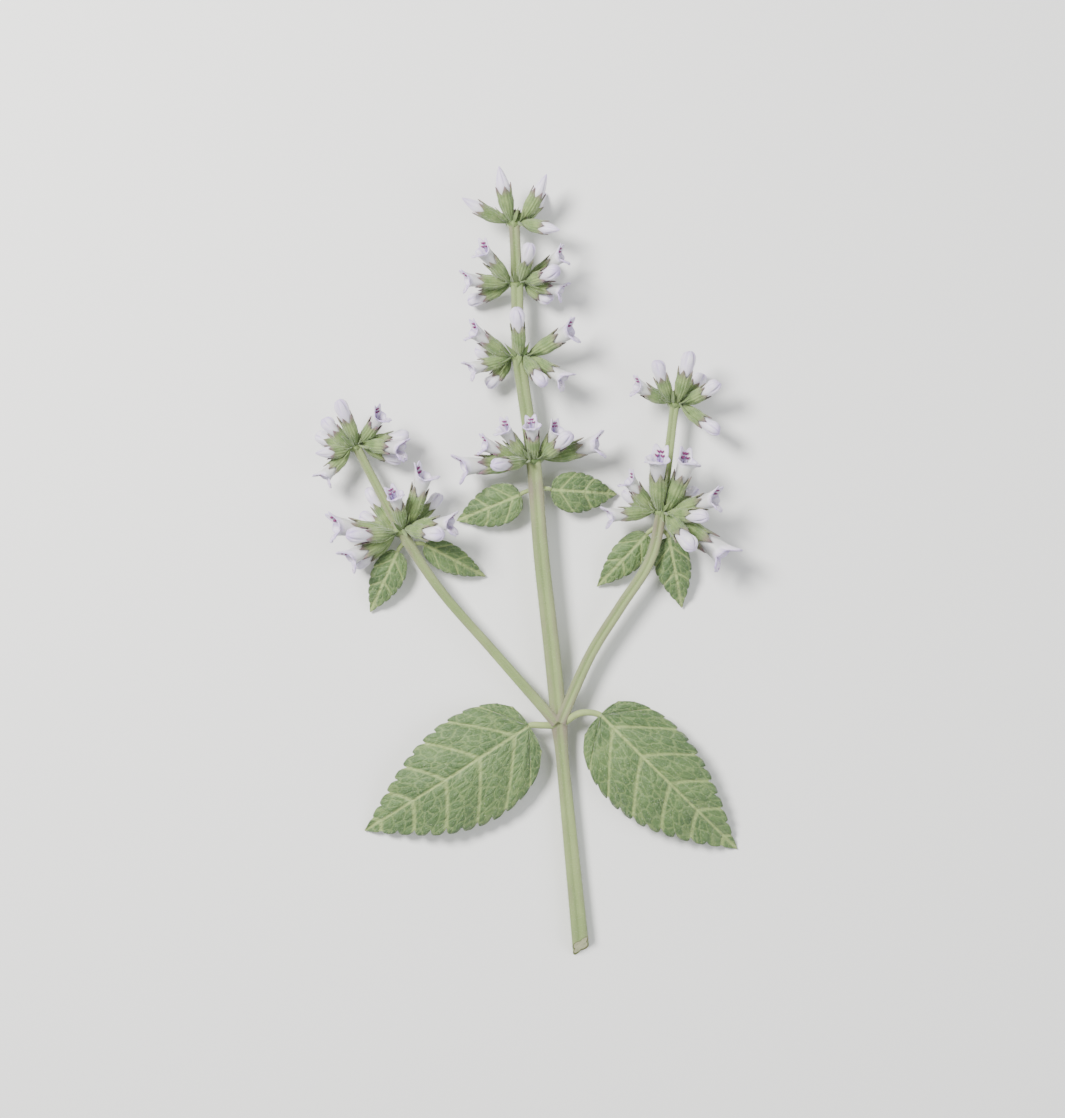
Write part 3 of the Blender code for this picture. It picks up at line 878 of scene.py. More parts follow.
def curve_object(name, ways):
    """A curve of one poly spline for each way, a way being a list of (point in metres, radius)."""
    data = bpy.data.curves.new(name, "CURVE")
    data.dimensions = "3D"
    for way in ways:
        spline = data.splines.new("POLY")
        spline.points.add(len(way) - 1)
        for point, (place, radius) in zip(spline.points, way):
            point.co = (*place, 1.0)
            point.radius = radius
    return new_object(name, data)


def tube_mesh(ways, sides, name, finish_name):
    """Round rods along the ways, as one plain mesh."""
    guide = curve_object(name + "_guide", ways)
    mesh = run_tree(guide, "Stalk and ribs", {"Sides": sides, "Finish": finish(finish_name)}, name)
    discard(guide)
    return mesh


def grow_down(surface_mesh, name, density, length, seed, slot):
    """Fine hairs over a mesh as a piece of their own."""
    sizes = bpy.context.scene.catnip_sizes
    carrier = new_object(name + "_carrier", surface_mesh)
    values = {
        "Density": density * sizes.down_density / MM**2,
        "Length": length * sizes.down_length * MM,
        "Width": sizes.down_width * MM,
        "Lean": 0.6,
        "Seed": seed,
        "Finish": finish("catnip down"),
    }
    mesh = run_tree(carrier, "Down", values, name)
    discard(carrier)
    settle(new_object(name, mesh), slot)


# Shoots


def store_values(mesh, name, values):
    layer = mesh.attributes.get(name) or mesh.attributes.new(name, "FLOAT", "POINT")
    layer.data.foreach_set("value", values)


def cut_stem_foot(mesh, facing, point):
    """Slices the stem's foot off aslant; the cut gets a rind and, inside it, pith."""
    solid = bmesh.new()
    solid.from_mesh(mesh)
    geometry = [*solid.verts, *solid.edges, *solid.faces]
    bmesh.ops.bisect_plane(solid, geom=geometry, plane_co=point, plane_no=facing, clear_outer=True)
    rim = [edge for edge in solid.edges if edge.is_boundary]
    corners = {corner for edge in rim for corner in edge.verts}
    centre = sum((corner.co for corner in corners), Vector()) / len(corners)
    for keep, depth, slot in CUT_RINGS:
        made = bmesh.ops.extrude_edge_only(solid, edges=rim)["geom"]
        for face in made:
            if isinstance(face, bmesh.types.BMFace):
                face.material_index = slot
                face.smooth = True
        rim = [edge for edge in made if isinstance(edge, bmesh.types.BMEdge) and edge.is_boundary]
        corners = {corner for edge in rim for corner in edge.verts}
        for corner in corners:
            corner.co = centre + (corner.co - centre) * keep + facing * depth * MM
    bmesh.ops.pointmerge(solid, verts=list(corners), merge_co=centre)
    bmesh.ops.recalc_face_normals(solid, faces=solid.faces)
    solid.to_mesh(mesh)
    solid.free()


def node_swelling(shoot, place):
    """How strongly a point of a shoot is in a joint, where leaves or flowers grow: 0 to 1."""
    joints = [station_frame(whorl, station)[0] for whorl, station, _ in WHORLS.values() if whorl == shoot]
    joints += [Vector(leaf[0]) for leaf in LEAVES.values()]
    nearest = min((Vector((place.x, place.y, 0)) - Vector((joint.x, joint.y, 0))).length for joint in joints)
    return math.exp(-((nearest / 3.2) ** 2))


class CATNIP_OT_shoots(bpy.types.Operator):
    """Makes the main stem, cut aslant at its foot, and the two side branches"""

    bl_idname = "catnip.shoots"
    bl_label = "Build stem and branches"

    def execute(self, context):
        sizes = context.scene.catnip_sizes
        stem_finish = finish("catnip stem")
        for number, shoot in enumerate(SHOOTS):
            way = shoot_way(shoot)
            swellings = [node_swelling(shoot, place) for place, _ in way]
            points = [
                (placed(place), (width / 2 + 0.12 * swelling) * MM)
                for (place, width), swelling in zip(way, swellings)
            ]
            guide = curve_object(shoot + "_guide", [points])
            values = {"Hollow": sizes.stem_hollow, "Finish": stem_finish}
            mesh = run_tree(guide, "Square shoot", values, shoot + "_form")
            discard(guide)
            store_values(mesh, "node", [
                node_swelling(shoot, vertex.co / MM - SHIFT) for vertex in mesh.vertices
            ])
            if shoot == "main_stem":
                mesh.materials.append(finish("catnip rind"))
                mesh.materials.append(finish("catnip pith"))
                cut_stem_foot(mesh, Vector(CUT_FACING).normalized(), placed(CUT_POINT))
            piece = new_object(shoot + "_form", mesh)
            settle(piece, "stem", shoot)
            grow_down(mesh.copy(), shoot + "_down", 3.6, 0.5, 11 + number, "stem")
        return {"FINISHED"}


# Leaves


def edge_point(share):
    """Blade's edge, for a leaf of length 1 and half width 1, from base (0) to tip (1)."""
    forward = share - BASE_LOBE * share * (1 - share) ** 7
    sideways = math.sin(math.pi * share**0.67) if share < 1 else 0.0
    return forward, sideways


class Blade:
    """Middle surface of one leaf."""

    def __init__(self, name):
        foot, bend, base, tip, self.half_width, (self.veins, self.teeth), self.arch, self.droop = LEAVES[name]
        self.foot, self.bend, self.base, self.tip = (Vector(spot) for spot in (foot, bend, base, tip))
        self.big = self.veins > SMALL[0]
        along = self.tip - self.base
        self.length = along.length
        self.forward = along.normalized()
        self.side = UP.cross(self.forward).normalized()
        self.over = self.forward.cross(self.side)
        self.phase = (self.base.x * 1.7 + self.base.y) % (2 * math.pi)

    def plan(self, across, share):
        """Forward and sideways place on the flat blade: across -1 to 1, share along its edge."""
        out = abs(across)
        edge_x, edge_y = edge_point(share)
        rib_x = max(0.0, (share - VEIN_LEAVES_AT) / (1 - VEIN_LEAVES_AT))
        count = self.veins * self.teeth
        phase = (share * count) % 1.0
        lean = phase + 0.13 * math.sin(2 * math.pi * phase)
        scallop = -1.05 + 1.6 * math.sin(math.pi * lean) ** 0.75
        rim = max(0.0, (out - 0.72) / 0.28) ** 1.4
        tooth = 0.055 * scallop * rim * math.sin(math.pi * share) ** 0.6
        curve = 0.05 * out * (1 - out) * math.sin(math.pi * share)
        x = (rib_x + (edge_x - rib_x) * out + 0.4 * tooth - curve) * self.length
        y = math.copysign((edge_y * out + tooth) * self.half_width, across)
        fuller = FULLER_SIDE + (FULLER_TIP * share if self.big else 0.0)
        return x, y * (1 - fuller * math.copysign(1, across * self.side.y))

    def height(self, across, share, x, y):
        sizes = bpy.context.scene.catnip_sizes
        out = abs(across)
        run = max(0.0, min(1.0, x / self.length))
        lift = self.arch * math.sin(math.pi * run)
        lift -= self.droop * (y / self.half_width) ** 2 * math.sin(math.pi * min(1.0, 0.25 + 0.75 * run))
        beside = abs((share * self.veins) % 1.0 - 0.5)
        body = min(1.0, out * 4) * (1 - out**8) * math.sin(math.pi * share) ** 0.5
        quilt = -math.cos(2 * math.pi * (0.5 - beside) + math.pi) - 0.7 * math.exp(-((beside / 0.06) ** 2))
        groove = math.exp(-((y / 0.55) ** 2)) * math.sin(math.pi * run) ** 0.4
        wave = math.sin(2 * math.pi * share * 3.1 + self.phase + (0.9 if across > 0 else 0.0)) * out**2
        puckers = math.sin(share * self.veins * 4 * math.pi + 5 * out) * math.sin(out * 16 + self.phase)
        small = min(1.0, self.half_width / 8)
        relief = sizes.quilt * small * (quilt * body - 1.4 * groove)
        return lift + relief + 0.28 * small * wave + 0.05 * small * puckers * body

    def point(self, across, share):
        x, y = self.plan(across, share)
        z = self.height(across, share, x, y)
        spot = self.base + self.forward * x + self.side * y + self.over * z
        spot.z = max(spot.z, LEAF_LIES_AT)
        return spot

    def mapped(self, across, share):
        _, y = self.plan(across, share)
        return y, share * self.veins


def leaf_ways(blade):
    """Stalk running on as the midrib's keel, and a rib under each side vein."""
    thick = 0.8 if blade.big else 0.5
    shares = (0.12, 0.3, 0.5, 0.7, 0.88, 0.98)
    keel = [blade.point(0.0, VEIN_LEAVES_AT + (1 - VEIN_LEAVES_AT) * share) for share in shares]
    stations = [blade.foot, blade.bend, blade.base - UP * 0.25, *keel]
    spots = through(stations, 6)
    ways = []
    main = []
    for number, spot in enumerate(spots):
        share = number / (len(spots) - 1)
        radius = thick * (1 - 0.9 * smoothstep(share))
        sunk = radius * 0.8 * smoothstep((share - 0.12) / 0.2)
        main.append((placed(Vector(spot) - UP * sunk), radius * MM))
    ways.append(main)
    for side in (-1, 1):
        for vein in range(blade.veins):
            share = (vein + 0.5) / blade.veins
            rib = []
            for step in range(9):
                out = 0.02 + 0.9 * step / 8
                radius = thick * 0.34 * (1 - 0.75 * step / 8) * min(1.0, 1.6 * math.sin(math.pi * share))
                spot = blade.point(side * out, share) - UP * (0.12 + radius * 0.5)
                rib.append((placed(spot), radius * MM))
            ways.append(rib)
    return ways


class CATNIP_OT_leaves(bpy.types.Operator):
    """Makes the two big leaves and the six small ones, each with its stalk, ribs and down"""

    bl_idname = "catnip.leaves"
    bl_label = "Build leaves"

    def execute(self, context):
        sizes = context.scene.catnip_sizes
        for number, name in enumerate(LEAVES):
            blade = Blade(name)
            mesh = formula_mesh(
                name + "_blade",
                36 if blade.big else 20,
                blade.veins * ROWS_A_VEIN,
                lambda u, v: placed(blade.point(1 - 2 * u, v**ROW_SPREAD)),
                lambda u, v: blade.mapped(1 - 2 * u, v**ROW_SPREAD),
                False,
            )
            mesh.materials.append(finish("catnip leaf"))
            mesh.materials.append(finish("catnip leaf underside"))
            blade_mesh = thickened(mesh, name + "_blade", sizes.blade_thickness * MM, 1)
            ribs = tube_mesh(leaf_ways(blade), 12 if blade.big else 8, name + "_ribs", "catnip rib")
            down_carrier = blade_mesh.copy()
            piece = joined(name + "_blade", [blade_mesh, ribs])
            settle(piece, "leaf", name)
            grow_down(down_carrier, name + "_down", 2.4 if blade.big else 3.4, 0.38, 31 + number, "leaf")
        return {"FINISHED"}


# Flowers


def turned_point(share, radius, angle):
    """A template's point: share along it, radius in millimetres, angle from its upper side."""
    height = math.cos(angle) * radius + BEND * USUAL_LENGTH * share**2
    return Vector((share * USUAL_LENGTH, -math.sin(angle) * radius, height)) * MM


def lathe(name, around, rows):
    """A closed template from rows, each a function of the angle that gives share, radius and map."""
    count = len(rows) - 1

    def point(u, v):
        angle = 2 * math.pi * (round(u * around) % around) / around
        share, radius, _ = rows[round(v * count)](angle)
        return turned_point(share, radius, angle)

    def mapped(u, v):
        angle = 2 * math.pi * (round(u * around) % around) / around
        return u, rows[round(v * count)](angle)[2]

    return formula_mesh(name, around, count, point, mapped, True)


def tooth_height(angle, teeth=5):
    """1 at a calyx tooth's tip and 0 in the notch beside it."""
    beside = abs((angle / (2 * math.pi) * teeth + 0.5) % 1.0 - 0.5) * 2
    return (1 - beside) ** 1.25


def calyx_template(name, rng):
    flare = rng.uniform(0.95, 1.08)
    twist = rng.uniform(0, 2 * math.pi)

    def outer(step):
        def row(angle):
            tooth = tooth_height(angle)
            end = CALYX_MOUTH - 0.01 + (TOOTH + 0.02) * tooth
            share = end * step
            body = CALYX_RADIUS * min(1.0, share / 0.36) ** 0.62
            body *= 1 - 0.07 * math.exp(-(((share - 0.47) / 0.08) ** 2))
            rim = smoothstep((share - 0.42) / 0.2)
            body += rim * (0.16 * tooth - 0.06) * flare
            rib = 0.055 * math.cos(CALYX_RIBS * angle) * min(1.0, share / 0.12)
            uneven = 0.04 * math.sin(2 * angle + twist)
            return share, body + rib + uneven, share
        return row

    def inner(step):
        def row(angle):
            share, radius, _ = outer(1.0)(angle)
            back = share + (0.40 - share) * step
            return back, (radius - 0.16) * (1 - 0.12 * step), share
        return row

    rows = [lambda angle: (0.0, 0.0, 0.0)]
    rows += [outer(step) for step in (0.03, 0.08, 0.16, 0.26, 0.4, 0.54, 0.68, 0.8, 0.9, 1.0)]
    rows += [inner(step) for step in (0.0, 0.35, 1.0)]
    rows += [lambda angle: (0.38, 0.0, 0.4)]
    return lathe(name, 60, rows)


def open_edge(angle):
    degrees = math.degrees(min(angle, 2 * math.pi - angle))
    for (start, share_1, radius_1), (end, share_2, radius_2) in zip(OPEN_EDGE, OPEN_EDGE[1:]):
        if degrees <= end:
            mixed = smoothstep((degrees - start) / (end - start))
            return share_1 + (share_2 - share_1) * mixed, radius_1 + (radius_2 - radius_1) * mixed
    return OPEN_EDGE[-1][1:]


def open_template(name, rng):
    """Two-lipped corolla with an open throat: two upper lobes, two side ones, a broad lower one."""
    wide = rng.uniform(0.95, 1.06)
    curl = rng.uniform(-0.02, 0.03)
    phase = rng.uniform(0, 2 * math.pi)
    wall = bpy.context.scene.catnip_sizes.petal_thickness

    def path(step, angle):
        degrees = math.degrees(min(angle, 2 * math.pi - angle))
        if step < 0.45:
            t = step / 0.45
            return 0.34 + 0.40 * t, 1.05 + 0.5 * t * t
        t = (step - 0.45) / 0.55
        share, radius = open_edge(angle)
        low = smoothstep((degrees - 120) / 40)
        share += curl * low
        radius *= wide
        radius += 0.09 * low * math.sin(13 * angle + phase) * t
        radius += 0.05 * math.sin(5 * angle + phase) * t
        near_share = THROAT + 0.6 * (share - THROAT) + 0.07 * low
        near_radius = THROAT_RADIUS + 0.2 * low
        keep, move = 1 - t, t
        return (
            keep * keep * THROAT + 2 * keep * move * near_share + move * move * share,
            keep * keep * THROAT_RADIUS + 2 * keep * move * near_radius + move * move * radius,
        )

    def offset(step, angle, inside):
        share, radius = path(step, angle)
        share_2, radius_2 = path(max(0.0, step - 0.02), angle)
        run = (share - share_2) * USUAL_LENGTH
        rise = radius - radius_2
        size = math.hypot(run, rise) or 1.0
        return share + inside * wall * rise / size / USUAL_LENGTH, radius - inside * wall * run / size

    def outer(step):
        return lambda angle: (*path(step, angle), step)

    def inner(step):
        return lambda angle: (*offset(step, angle, 1.0), 2.0 - step)

    def rim(angle):
        share, radius = offset(1.0, angle, 0.5)
        return share, radius + 0.05, 1.0

    steps = (0.02, 0.2, 0.36, 0.45, 0.53, 0.61, 0.69, 0.77, 0.84, 0.9, 0.95, 0.985)
    rows = [lambda angle: (0.34, 0.0, 0.0)]
    rows += [outer(step) for step in steps]
    rows += [rim]
    rows += [inner(step) for step in reversed(steps[2:])]
    rows += [lambda angle: (0.5, 0.55, 1.9), lambda angle: (0.45, 0.0, 2.0)]
    return lathe(name, 72, rows)


def seam(angle, lobes, turn):
    beside = abs((angle / (2 * math.pi) * lobes + turn + 0.5) % 1.0 - 0.5) * 2
    return math.exp(-((beside / 0.22) ** 2))


def young_template(name, rng):
    """Corolla about to open: a rounded cap of folded lobes on its tube."""
    lift = rng.uniform(-0.03, 0.05)
    full = rng.uniform(0.94, 1.06)

    def body(share):
        tube = 1.05 + 0.4 * smoothstep((share - 0.4) / 0.3)
        cap = 1.8 * full * math.sqrt(max(0.0, 1 - max(0.0, (share - 0.84) / 0.16) ** 2))
        return tube + (cap - tube) * smoothstep((share - 0.66) / 0.16)

    def outer(share):
        def row(angle):
            radius = body(share)
            deep = smoothstep((share - 0.7) / 0.18)
            fold = 0.34 * seam(angle, 5, 0.3 * (share - 0.7)) * deep
            hood = 0.16 * math.cos(angle) * deep * (1 - share) * 4
            longer = lift * math.cos(angle) * deep
            return share + longer, max(0.02, radius * (1 - fold) + hood), share
        return row

    shares = (0.36, 0.5, 0.6, 0.68, 0.73, 0.78, 0.83, 0.88, 0.92, 0.95, 0.975, 0.99)
    rows = [lambda angle: (0.35, 0.0, 0.0)]
    rows += [outer(share) for share in shares]
    rows += [lambda angle: (0.992, 0.0, 1.0)]
    return lathe(name, 50, rows)


def bud_template(name, rng):
    """Closed pointed bud with twisted lobes."""
    full = rng.uniform(0.95, 1.05)

    def outer(share):
        def row(angle):
            rise = smoothstep((share - 0.3) / 0.28)
            fall = math.cos(math.pi / 2 * max(0.0, (share - 0.58) / 0.42)) ** 0.85
            radius = (1.05 + 0.5 * rise) * max(0.0, fall) * full
            deep = smoothstep((share - 0.6) / 0.2)
            return share, max(0.02, radius * (1 - 0.2 * deep * seam(angle, 5, 1.1 * share))), share
        return row

    shares = (0.36, 0.45, 0.53, 0.6, 0.66, 0.72, 0.78, 0.84, 0.89, 0.93, 0.97, 0.99)
    rows = [lambda angle: (0.35, 0.0, 0.0)]
    rows += [outer(share) for share in shares]
    rows += [lambda angle: (1.0, 0.0, 1.0)]
    return lathe(name, 50, rows)


def filament_ways():
    """The stamens and a forked style under the upper lip, as ways in the template's place."""
    ways = []
    for across, share, height in STAMENS:
        way = []
        for step in range(7):
            t = step / 6
            x = 0.52 + (share - 0.52) * t
            z = height * smoothstep(t) + BEND * USUAL_LENGTH * x * x
            way.append((Vector((x * USUAL_LENGTH, across * (0.5 + 0.5 * t), z)) * MM, 0.09 * MM))
        ways.append(way)
    for fork in (-1, 1):
        way = []
        for step in range(8):
            t = step / 7
            x = 0.52 + 0.43 * t
            z = 1.5 * smoothstep(t) + BEND * USUAL_LENGTH * x * x
            apart = fork * 0.28 * smoothstep((t - 0.8) / 0.2)
            way.append((Vector((x * USUAL_LENGTH, apart, z + abs(apart) * 0.5)) * MM, (0.08 - 0.03 * t) * MM))
        ways.append(way)
    return ways


def anther_template(name):
    """Two pollen sacs at the end of each stamen."""
    solid = bmesh.new()
    for way in filament_ways()[:len(STAMENS)]:
        end = way[-1][0]
        for side in (-1, 1):
            spread = Matrix.Rotation(math.radians(35 * side), 4, "Z")
            size = Matrix.Diagonal((0.42 * MM, 0.17 * MM, 0.2 * MM, 1))
            place = Matrix.Translation(end + Vector((0.1, 0.14 * side, 0.02)) * MM) @ spread @ size
            bmesh.ops.create_uvsphere(solid, u_segments=8, v_segments=6, radius=1.0, matrix=place)
    mesh = bpy.data.meshes.new(name)
    solid.to_mesh(mesh)
    solid.free()
    mesh.shade_smooth()
    return mesh


def bracteole_template(name):
    """Narrow pointed leaflet, one of those that stand under each flower."""
    def point(u, v):
        across = 2 * u - 1
        half = 0.42 * math.sin(math.pi * (0.06 + 0.94 * v) ** 0.7) * (1 - v**6)
        lift = 0.55 * v**2 - 0.25 * across**2 * half
        return Vector((4.2 * v, half * across, lift)) * MM

    sheet = formula_mesh(name, 4, 10, point, lambda u, v: (u * 0.2, v * 0.6), False)
    return thickened(sheet, name, 0.22 * MM, 0)


def template_collection(name, meshes):
    """A collection, out of the scene, that holds each mesh as one shape to copy."""
    collection = bpy.data.collections.new(name)
    for number, mesh in enumerate(meshes):
        collection.objects.link(bpy.data.objects.new(f"{name}_{number:02d}", mesh))
    return collection


def point_mesh(name, marks):
    """A mesh of bare points that carry each copy's direction, upper side, size, variant and tint."""
    mesh = bpy.data.meshes.new(name)
    mesh.from_pydata([placed(mark["root"]) for mark in marks], [], [])
    for key in ("forward", "upper", "size"):
        layer = mesh.attributes.new(key, "FLOAT_VECTOR", "POINT")
        layer.data.foreach_set("vector", [part for mark in marks for part in mark[key]])
    variant = mesh.attributes.new("variant", "INT", "POINT")
    variant.data.foreach_set("value", [mark["variant"] for mark in marks])
    store_values(mesh, "tint", [mark["tint"] for mark in marks])
    return mesh


def set_copies(name, marks, copies, finish_name):
    """The marks' copies as one plain mesh."""
    carrier = new_object(name + "_points", point_mesh(name + "_points", marks))
    values = {"Copies": copies, "Finish": finish(finish_name)}
    mesh = run_tree(carrier, "Set on points", values, name)
    discard(carrier)
    return mesh


def flower_mark(centre, axis, width, flower, rng):
    """Root, direction, upper side, size and variant of one flower.

    Its length is the one at which it ends at its reach, seen from above.
    """
    bearing, reach, rise, kind = flower
    turn, lift = math.radians(bearing), math.radians(rise)
    plan = Vector((math.cos(turn), math.sin(turn), 0))
    forward = Vector((
        math.cos(turn) * math.cos(lift),
        math.sin(turn) * math.cos(lift),
        math.sin(lift),
    ))
    outward = (forward - forward.dot(axis) * axis).normalized()
    side = axis.cross(forward).normalized()
    upper = forward.cross(side)
    stand = outward * (width / 2 + 0.55 * RING_WALL)
    over = upper.dot(plan)
    length = (reach - stand.dot(plan) - LIP_REACH[kind] * over) / (forward.dot(plan) + BEND * over)
    full = max(FULLNESS[0], min(FULLNESS[1], length / USUAL_LENGTH))
    first = {BUD: 0, YOUNG: VARIANTS[BUD], OPEN: VARIANTS[BUD] + VARIANTS[YOUNG]}[kind]
    return {
        "root": centre + stand,
        "forward": forward,
        "upper": upper,
        "side": side,
        "size": (length / USUAL_LENGTH, full, full),
        "variant": first + rng.randrange(VARIANTS[kind]),
        "tint": rng.random(),
        "kind": kind,
    }


def bracteole_marks(flowers, rng):
    """Two leaflets at the foot of each flower, one on each side of it."""
    marks = []
    for flower in flowers:
        for side in (-1, 1):
            spread = Matrix.Rotation(math.radians(side * rng.uniform(22, 40)), 3, flower["upper"])
            forward = (spread @ flower["forward"] - 0.2 * flower["upper"]).normalized()
            length = rng.uniform(0.8, 1.15)
            marks.append({
                "root": flower["root"] + flower["side"] * side * 0.7,
                "forward": forward,
                "upper": flower["upper"],
                "size": (length, 1.0, 1.0),
                "variant": 0,
                "tint": rng.random(),
            })
    return marks


def tip_marks(centre, axis, count, rng):
    """Tiny unopened buds packed round a shoot's tip."""
    side = axis.orthogonal().normalized()
    marks = []
    for number in range(count):
        share = (number + 0.5) / count
        spread = math.radians(12 + 62 * share)
        turn = number * GOLDEN_TURN
        outward = Matrix.Rotation(turn, 3, axis) @ side
        forward = (axis * math.cos(spread) + outward * math.sin(spread)).normalized()
        scale = 0.42 * (0.75 + 0.35 * share)
        marks.append({
            "root": centre + forward * 0.5,
            "forward": forward,
            "upper": outward.cross(forward).cross(forward).normalized(),
            "size": (0.8 * scale, scale, scale),
            "variant": rng.randrange(CALYX_VARIANTS),
            "tint": rng.random(),
        })
    return marks


def cushion_mesh(name, centre, axis, width):
    """Knobbly green cushion round the shoot that the flowers stand on."""
    side = axis.orthogonal().normalized()
    other = axis.cross(side)

    def point(u, v):
        turn = 2 * math.pi * (round(u * 40) % 40) / 40
        belly = math.sin(math.pi * v)
        radius = (width / 2 + 0.75) * belly**0.45 * (1 + 0.08 * math.sin(7 * turn + 3 * v))
        outward = side * math.cos(turn) + other * math.sin(turn)
        along = (v - 0.5) * 2.9
        return placed(centre + outward * (radius if belly > 1e-6 else 0.0) + axis * along)

    return formula_mesh(name, 40, 14, point, lambda u, v: (u, 0.2 * v), True)


class CATNIP_OT_whorls(bpy.types.Operator):
    """Makes the eight whorls: cushion, leaflets, calyxes, corollas, stamens and their down"""

    bl_idname = "catnip.whorls"
    bl_label = "Build whorls of flowers"

    def execute(self, context):
        rng = random.Random(context.scene.catnip_sizes.seed)
        calyxes = template_collection("calyx", [calyx_template("calyx", rng) for _ in range(CALYX_VARIANTS)])
        corollas = template_collection("corolla", [
            *(bud_template("bud", rng) for _ in range(VARIANTS[BUD])),
            *(young_template("young_flower", rng) for _ in range(VARIANTS[YOUNG])),
            *(open_template("open_flower", rng) for _ in range(VARIANTS[OPEN])),
        ])
        filaments = tube_mesh(filament_ways(), 6, "filaments", "catnip filament")
        stamens = template_collection("filament", [filaments])
        anthers = template_collection("anther", [anther_template("anthers")])
        leaflets = template_collection("bracteole", [bracteole_template("bracteole")])
        for number, (name, (shoot, station, flowers)) in enumerate(WHORLS.items()):
            centre, axis, width = station_frame(shoot, station)
            marks = [flower_mark(centre, axis, width, flower, rng) for flower in flowers]
            calyx_marks = [{**mark, "variant": mark["variant"] % CALYX_VARIANTS} for mark in marks]
            if station == len(SHOOTS[shoot][0]) - 1:
                calyx_marks = calyx_marks + tip_marks(centre, axis, 9, rng)
            open_marks = [{**mark, "variant": 0} for mark in marks if mark["kind"] == OPEN]
            calyx_mesh = set_copies(name + "_calyxes", calyx_marks, calyxes, "catnip calyx")
            meshes = [
                set_copies(name + "_corollas", marks, corollas, "catnip petal"),
                calyx_mesh,
                set_copies(name + "_leaflets", bracteole_marks(marks, rng), leaflets, "catnip calyx"),
            ]
            cushion = cushion_mesh(name + "_cushion", centre, axis, width)
            cushion.materials.append(finish("catnip calyx"))
            meshes.append(cushion)
            if open_marks:
                meshes.append(set_copies(name + "_filaments", open_marks, stamens, "catnip filament"))
                meshes.append(set_copies(name + "_anthers", open_marks, anthers, "catnip anther"))
            down_carrier = calyx_mesh.copy()
            piece = joined(name + "_flowers", meshes)
            settle(piece, "flower", name)
            grow_down(down_carrier, name + "_down", 2.6, 0.42, 51 + number, "flower")
        for collection in (calyxes, corollas, stamens, anthers, leaflets):
            discard(*collection.objects)
            bpy.data.collections.remove(collection)
        return {"FINISHED"}


# Stage


def soft_light(name, place, size, power, tint):
    """A round light that faces the sprig."""
    lamp = bpy.data.lights.new(name, "AREA")
    lamp.shape = "DISK"
    lamp.size = size
    lamp.energy = power
    lamp.color = tint
    made = new_object(name, lamp)
    made.location = place
    made.rotation_euler = (-Vector(place)).to_track_quat("-Z", "Y").to_euler()


class CATNIP_OT_stage(bpy.types.Operator):
    """Adds the pale floor, soft lights and the camera that looks down on the sprig"""

    bl_idname = "catnip.stage"
    bl_label = "Build stage"

    def execute(self, context):
        sheet = bmesh.new()
        bmesh.ops.create_grid(sheet, x_segments=4, y_segments=4, size=3.0)
        mesh = bpy.data.meshes.new("floor")
        sheet.to_mesh(mesh)
        sheet.free()
        mesh.materials.append(finish("pale floor"))
        floor = new_object("floor", mesh)

        view = bpy.data.cameras.new("camera")
        view.lens = 100
        view.sensor_width = 36
        view.clip_start = 0.05
        camera = new_object("camera", view)
        distance = PHOTO_HEIGHT * MM_PER_PIXEL * MM * view.lens / view.sensor_width
        centre = placed((*VIEW_CENTRE, 5.0))
        camera.location = centre + Vector((0, 0, distance))
        camera.rotation_euler = (0, 0, -LEAN)
        context.scene.camera = camera

        soft_light("window", (-0.32, 0.28, 0.55), 0.24, 10.5, (1.0, 0.985, 0.96))
        soft_light("fill", (0.5, -0.15, 0.5), 0.6, 2.6, (0.94, 0.97, 1.0))
        world = bpy.data.worlds.new("studio")
        world.use_nodes = True
        sky = world.node_tree.nodes["Background"]
        sky.inputs["Color"].default_value = (1.0, 1.0, 1.0, 1.0)
        sky.inputs["Strength"].default_value = 0.55
        context.scene.world = world
        return {"FINISHED"}


# Settings and panel


def tone(name, value, words):
    limits = {"size": 3, "min": 0, "max": 1}
    return FloatVectorProperty(name=name, description=words, subtype="COLOR", default=value, **limits)


def amount(name, value, low, high, words):
    return FloatProperty(name=name, description=words, default=value, min=low, max=high)


class CatnipSizes(bpy.types.PropertyGroup):
    """Sizes of the fine detail."""

    stem_hollow: amount(
        "Stem hollow", 0.2, 0, 0.3, "Depth of the hollow in each side of the stem, as a share of its radius",
    )
    quilt: amount("Quilting", 0.26, 0, 0.6, "Height of a leaf's bulges between its veins, in mm")
    blade_thickness: amount("Blade thickness", 0.36, 0.1, 0.6, "Thickness of a leaf's blade, in mm")
    petal_thickness: amount("Petal thickness", 0.3, 0.1, 0.6, "Thickness of a flower's lips, in mm")
    down_length: amount("Down length", 1.0, 0.1, 3, "Length of the hairs, as a factor on each part's own")
    down_width: amount("Down width", 0.05, 0.01, 0.1, "Width of a hair at its root, in mm")
    down_density: amount("Down density", 1.0, 0, 3, "Number of hairs, as a factor on each part's own")
    seed: IntProperty(name="Seed", description="Seed of the flowers' small differences", default=7, min=0)


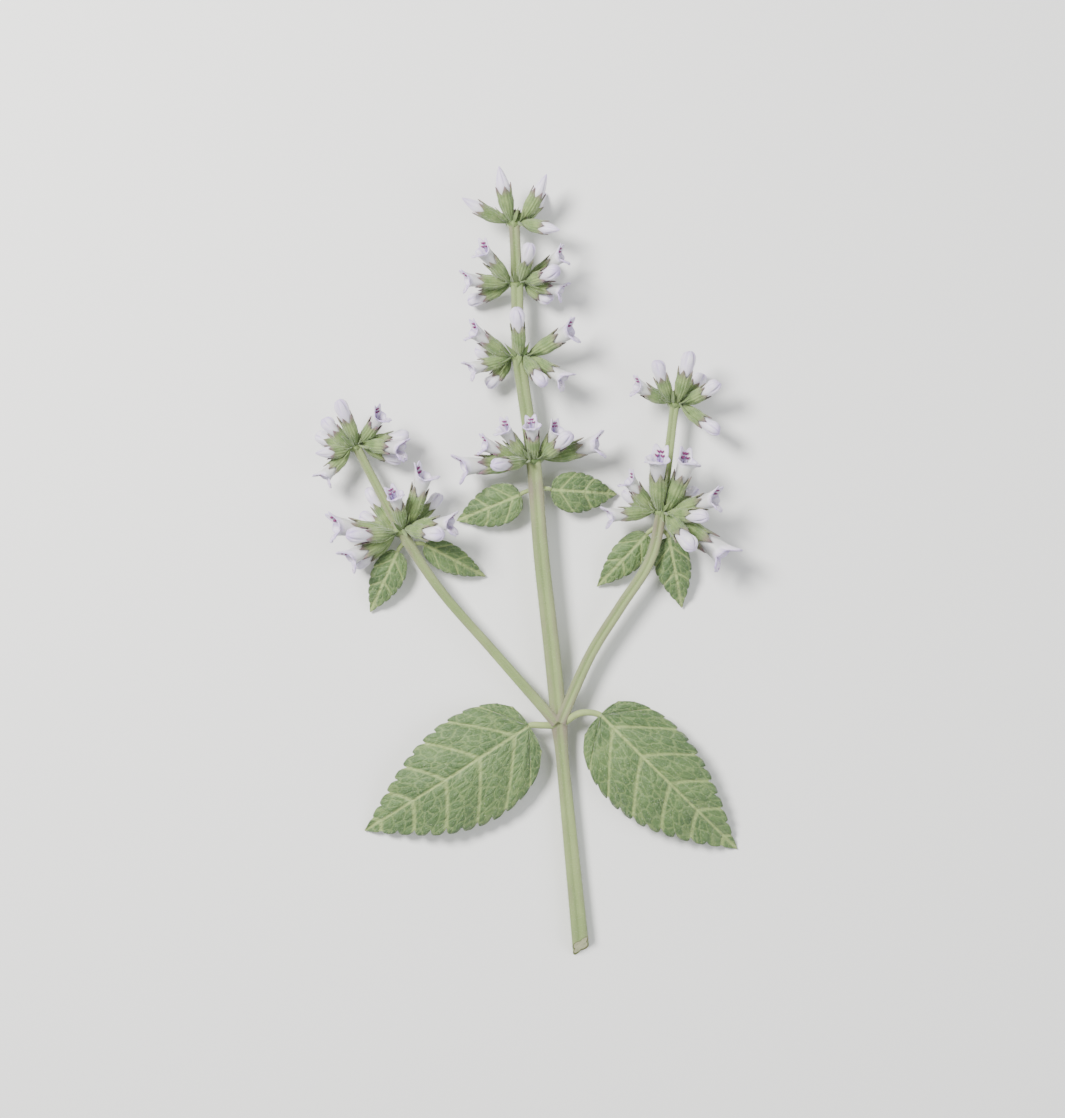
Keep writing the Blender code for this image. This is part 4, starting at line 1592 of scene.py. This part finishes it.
class CatnipColours(bpy.types.PropertyGroup):
    """Colours of the sprig's finishes and of the floor."""

    stem: tone("Stem", (0.15, 0.22, 0.065), "Green of the stem")
    stem_pale: tone("Pale stem", (0.26, 0.33, 0.125), "Paler streaks of the stem")
    flush: tone("Flush", (0.16, 0.05, 0.12), "Purple flush on ridges, joints and calyx teeth")
    rind: tone("Rind", (0.17, 0.12, 0.05), "Dried rind round the cut")
    pith: tone("Pith", (0.62, 0.62, 0.38), "Pith in the cut")
    leaf: tone("Leaf", (0.046, 0.098, 0.027), "Green of a leaf's upper side")
    leaf_light: tone("Light leaf", (0.088, 0.158, 0.045), "Lighter patches of a leaf's upper side")
    leaf_under: tone("Leaf underside", (0.24, 0.32, 0.17), "Underside of a leaf")
    leaf_down: tone("Leaf bloom", (0.27, 0.34, 0.19), "Greyish bloom of the fine down on a leaf")
    vein: tone("Vein", (0.30, 0.38, 0.13), "Midrib and veins")
    calyx: tone("Calyx", (0.10, 0.17, 0.045), "Green of a calyx")
    # Pale calyx also paints the greenish shade at the foot of each corolla's tube.
    calyx_pale: tone("Pale calyx", (0.22, 0.30, 0.10), "Paler patches of a calyx")
    petal: tone("Petal", (0.70, 0.64, 0.80), "White of the petals")
    petal_warm: tone("Warm petal", (0.78, 0.75, 0.80), "Warmer patches of the petals")
    # Lilac also paints the shade in the creases between the petals' folded lobes.
    lilac: tone("Lilac", (0.36, 0.22, 0.60), "Lilac of petal edges and veins")
    freckle: tone("Freckle", (0.20, 0.03, 0.26), "Purple freckles on the lower lip")
    anther: tone("Anther", (0.20, 0.03, 0.13), "Dark anthers")
    down: tone("Down", (0.62, 0.66, 0.52), "Fine hairs")
    floor: tone("Floor", (0.82, 0.82, 0.81), "Pale floor")


class CATNIP_PT_panel(bpy.types.Panel):
    """The sprig's pieces and their settings"""

    bl_label = "Catnip Sprig"
    bl_idname = "CATNIP_PT_panel"
    bl_space_type = "VIEW_3D"
    bl_region_type = "UI"
    bl_category = "Catnip"

    def draw(self, context):
        for operator in OPERATORS:
            self.layout.operator(operator.bl_idname)
        for group in (context.scene.catnip_sizes, context.scene.catnip_colours):
            box = self.layout.box()
            for name in group.__annotations__:
                box.prop(group, name)


OPERATORS = (CATNIP_OT_shoots, CATNIP_OT_leaves, CATNIP_OT_whorls, CATNIP_OT_stage)
CLASSES = (CatnipSizes, CatnipColours, *OPERATORS, CATNIP_PT_panel)


def register():
    for item in CLASSES:
        bpy.utils.register_class(item)
    bpy.types.Scene.catnip_sizes = PointerProperty(type=CatnipSizes)
    bpy.types.Scene.catnip_colours = PointerProperty(type=CatnipColours)


def unregister():
    del bpy.types.Scene.catnip_colours
    del bpy.types.Scene.catnip_sizes
    for item in reversed(CLASSES):
        bpy.utils.unregister_class(item)


def main():
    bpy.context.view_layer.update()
    register()
    bpy.ops.catnip.shoots()
    bpy.ops.catnip.leaves()
    bpy.ops.catnip.whorls()
    bpy.ops.catnip.stage()
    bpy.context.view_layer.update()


if __name__ == "__main__":
    main()
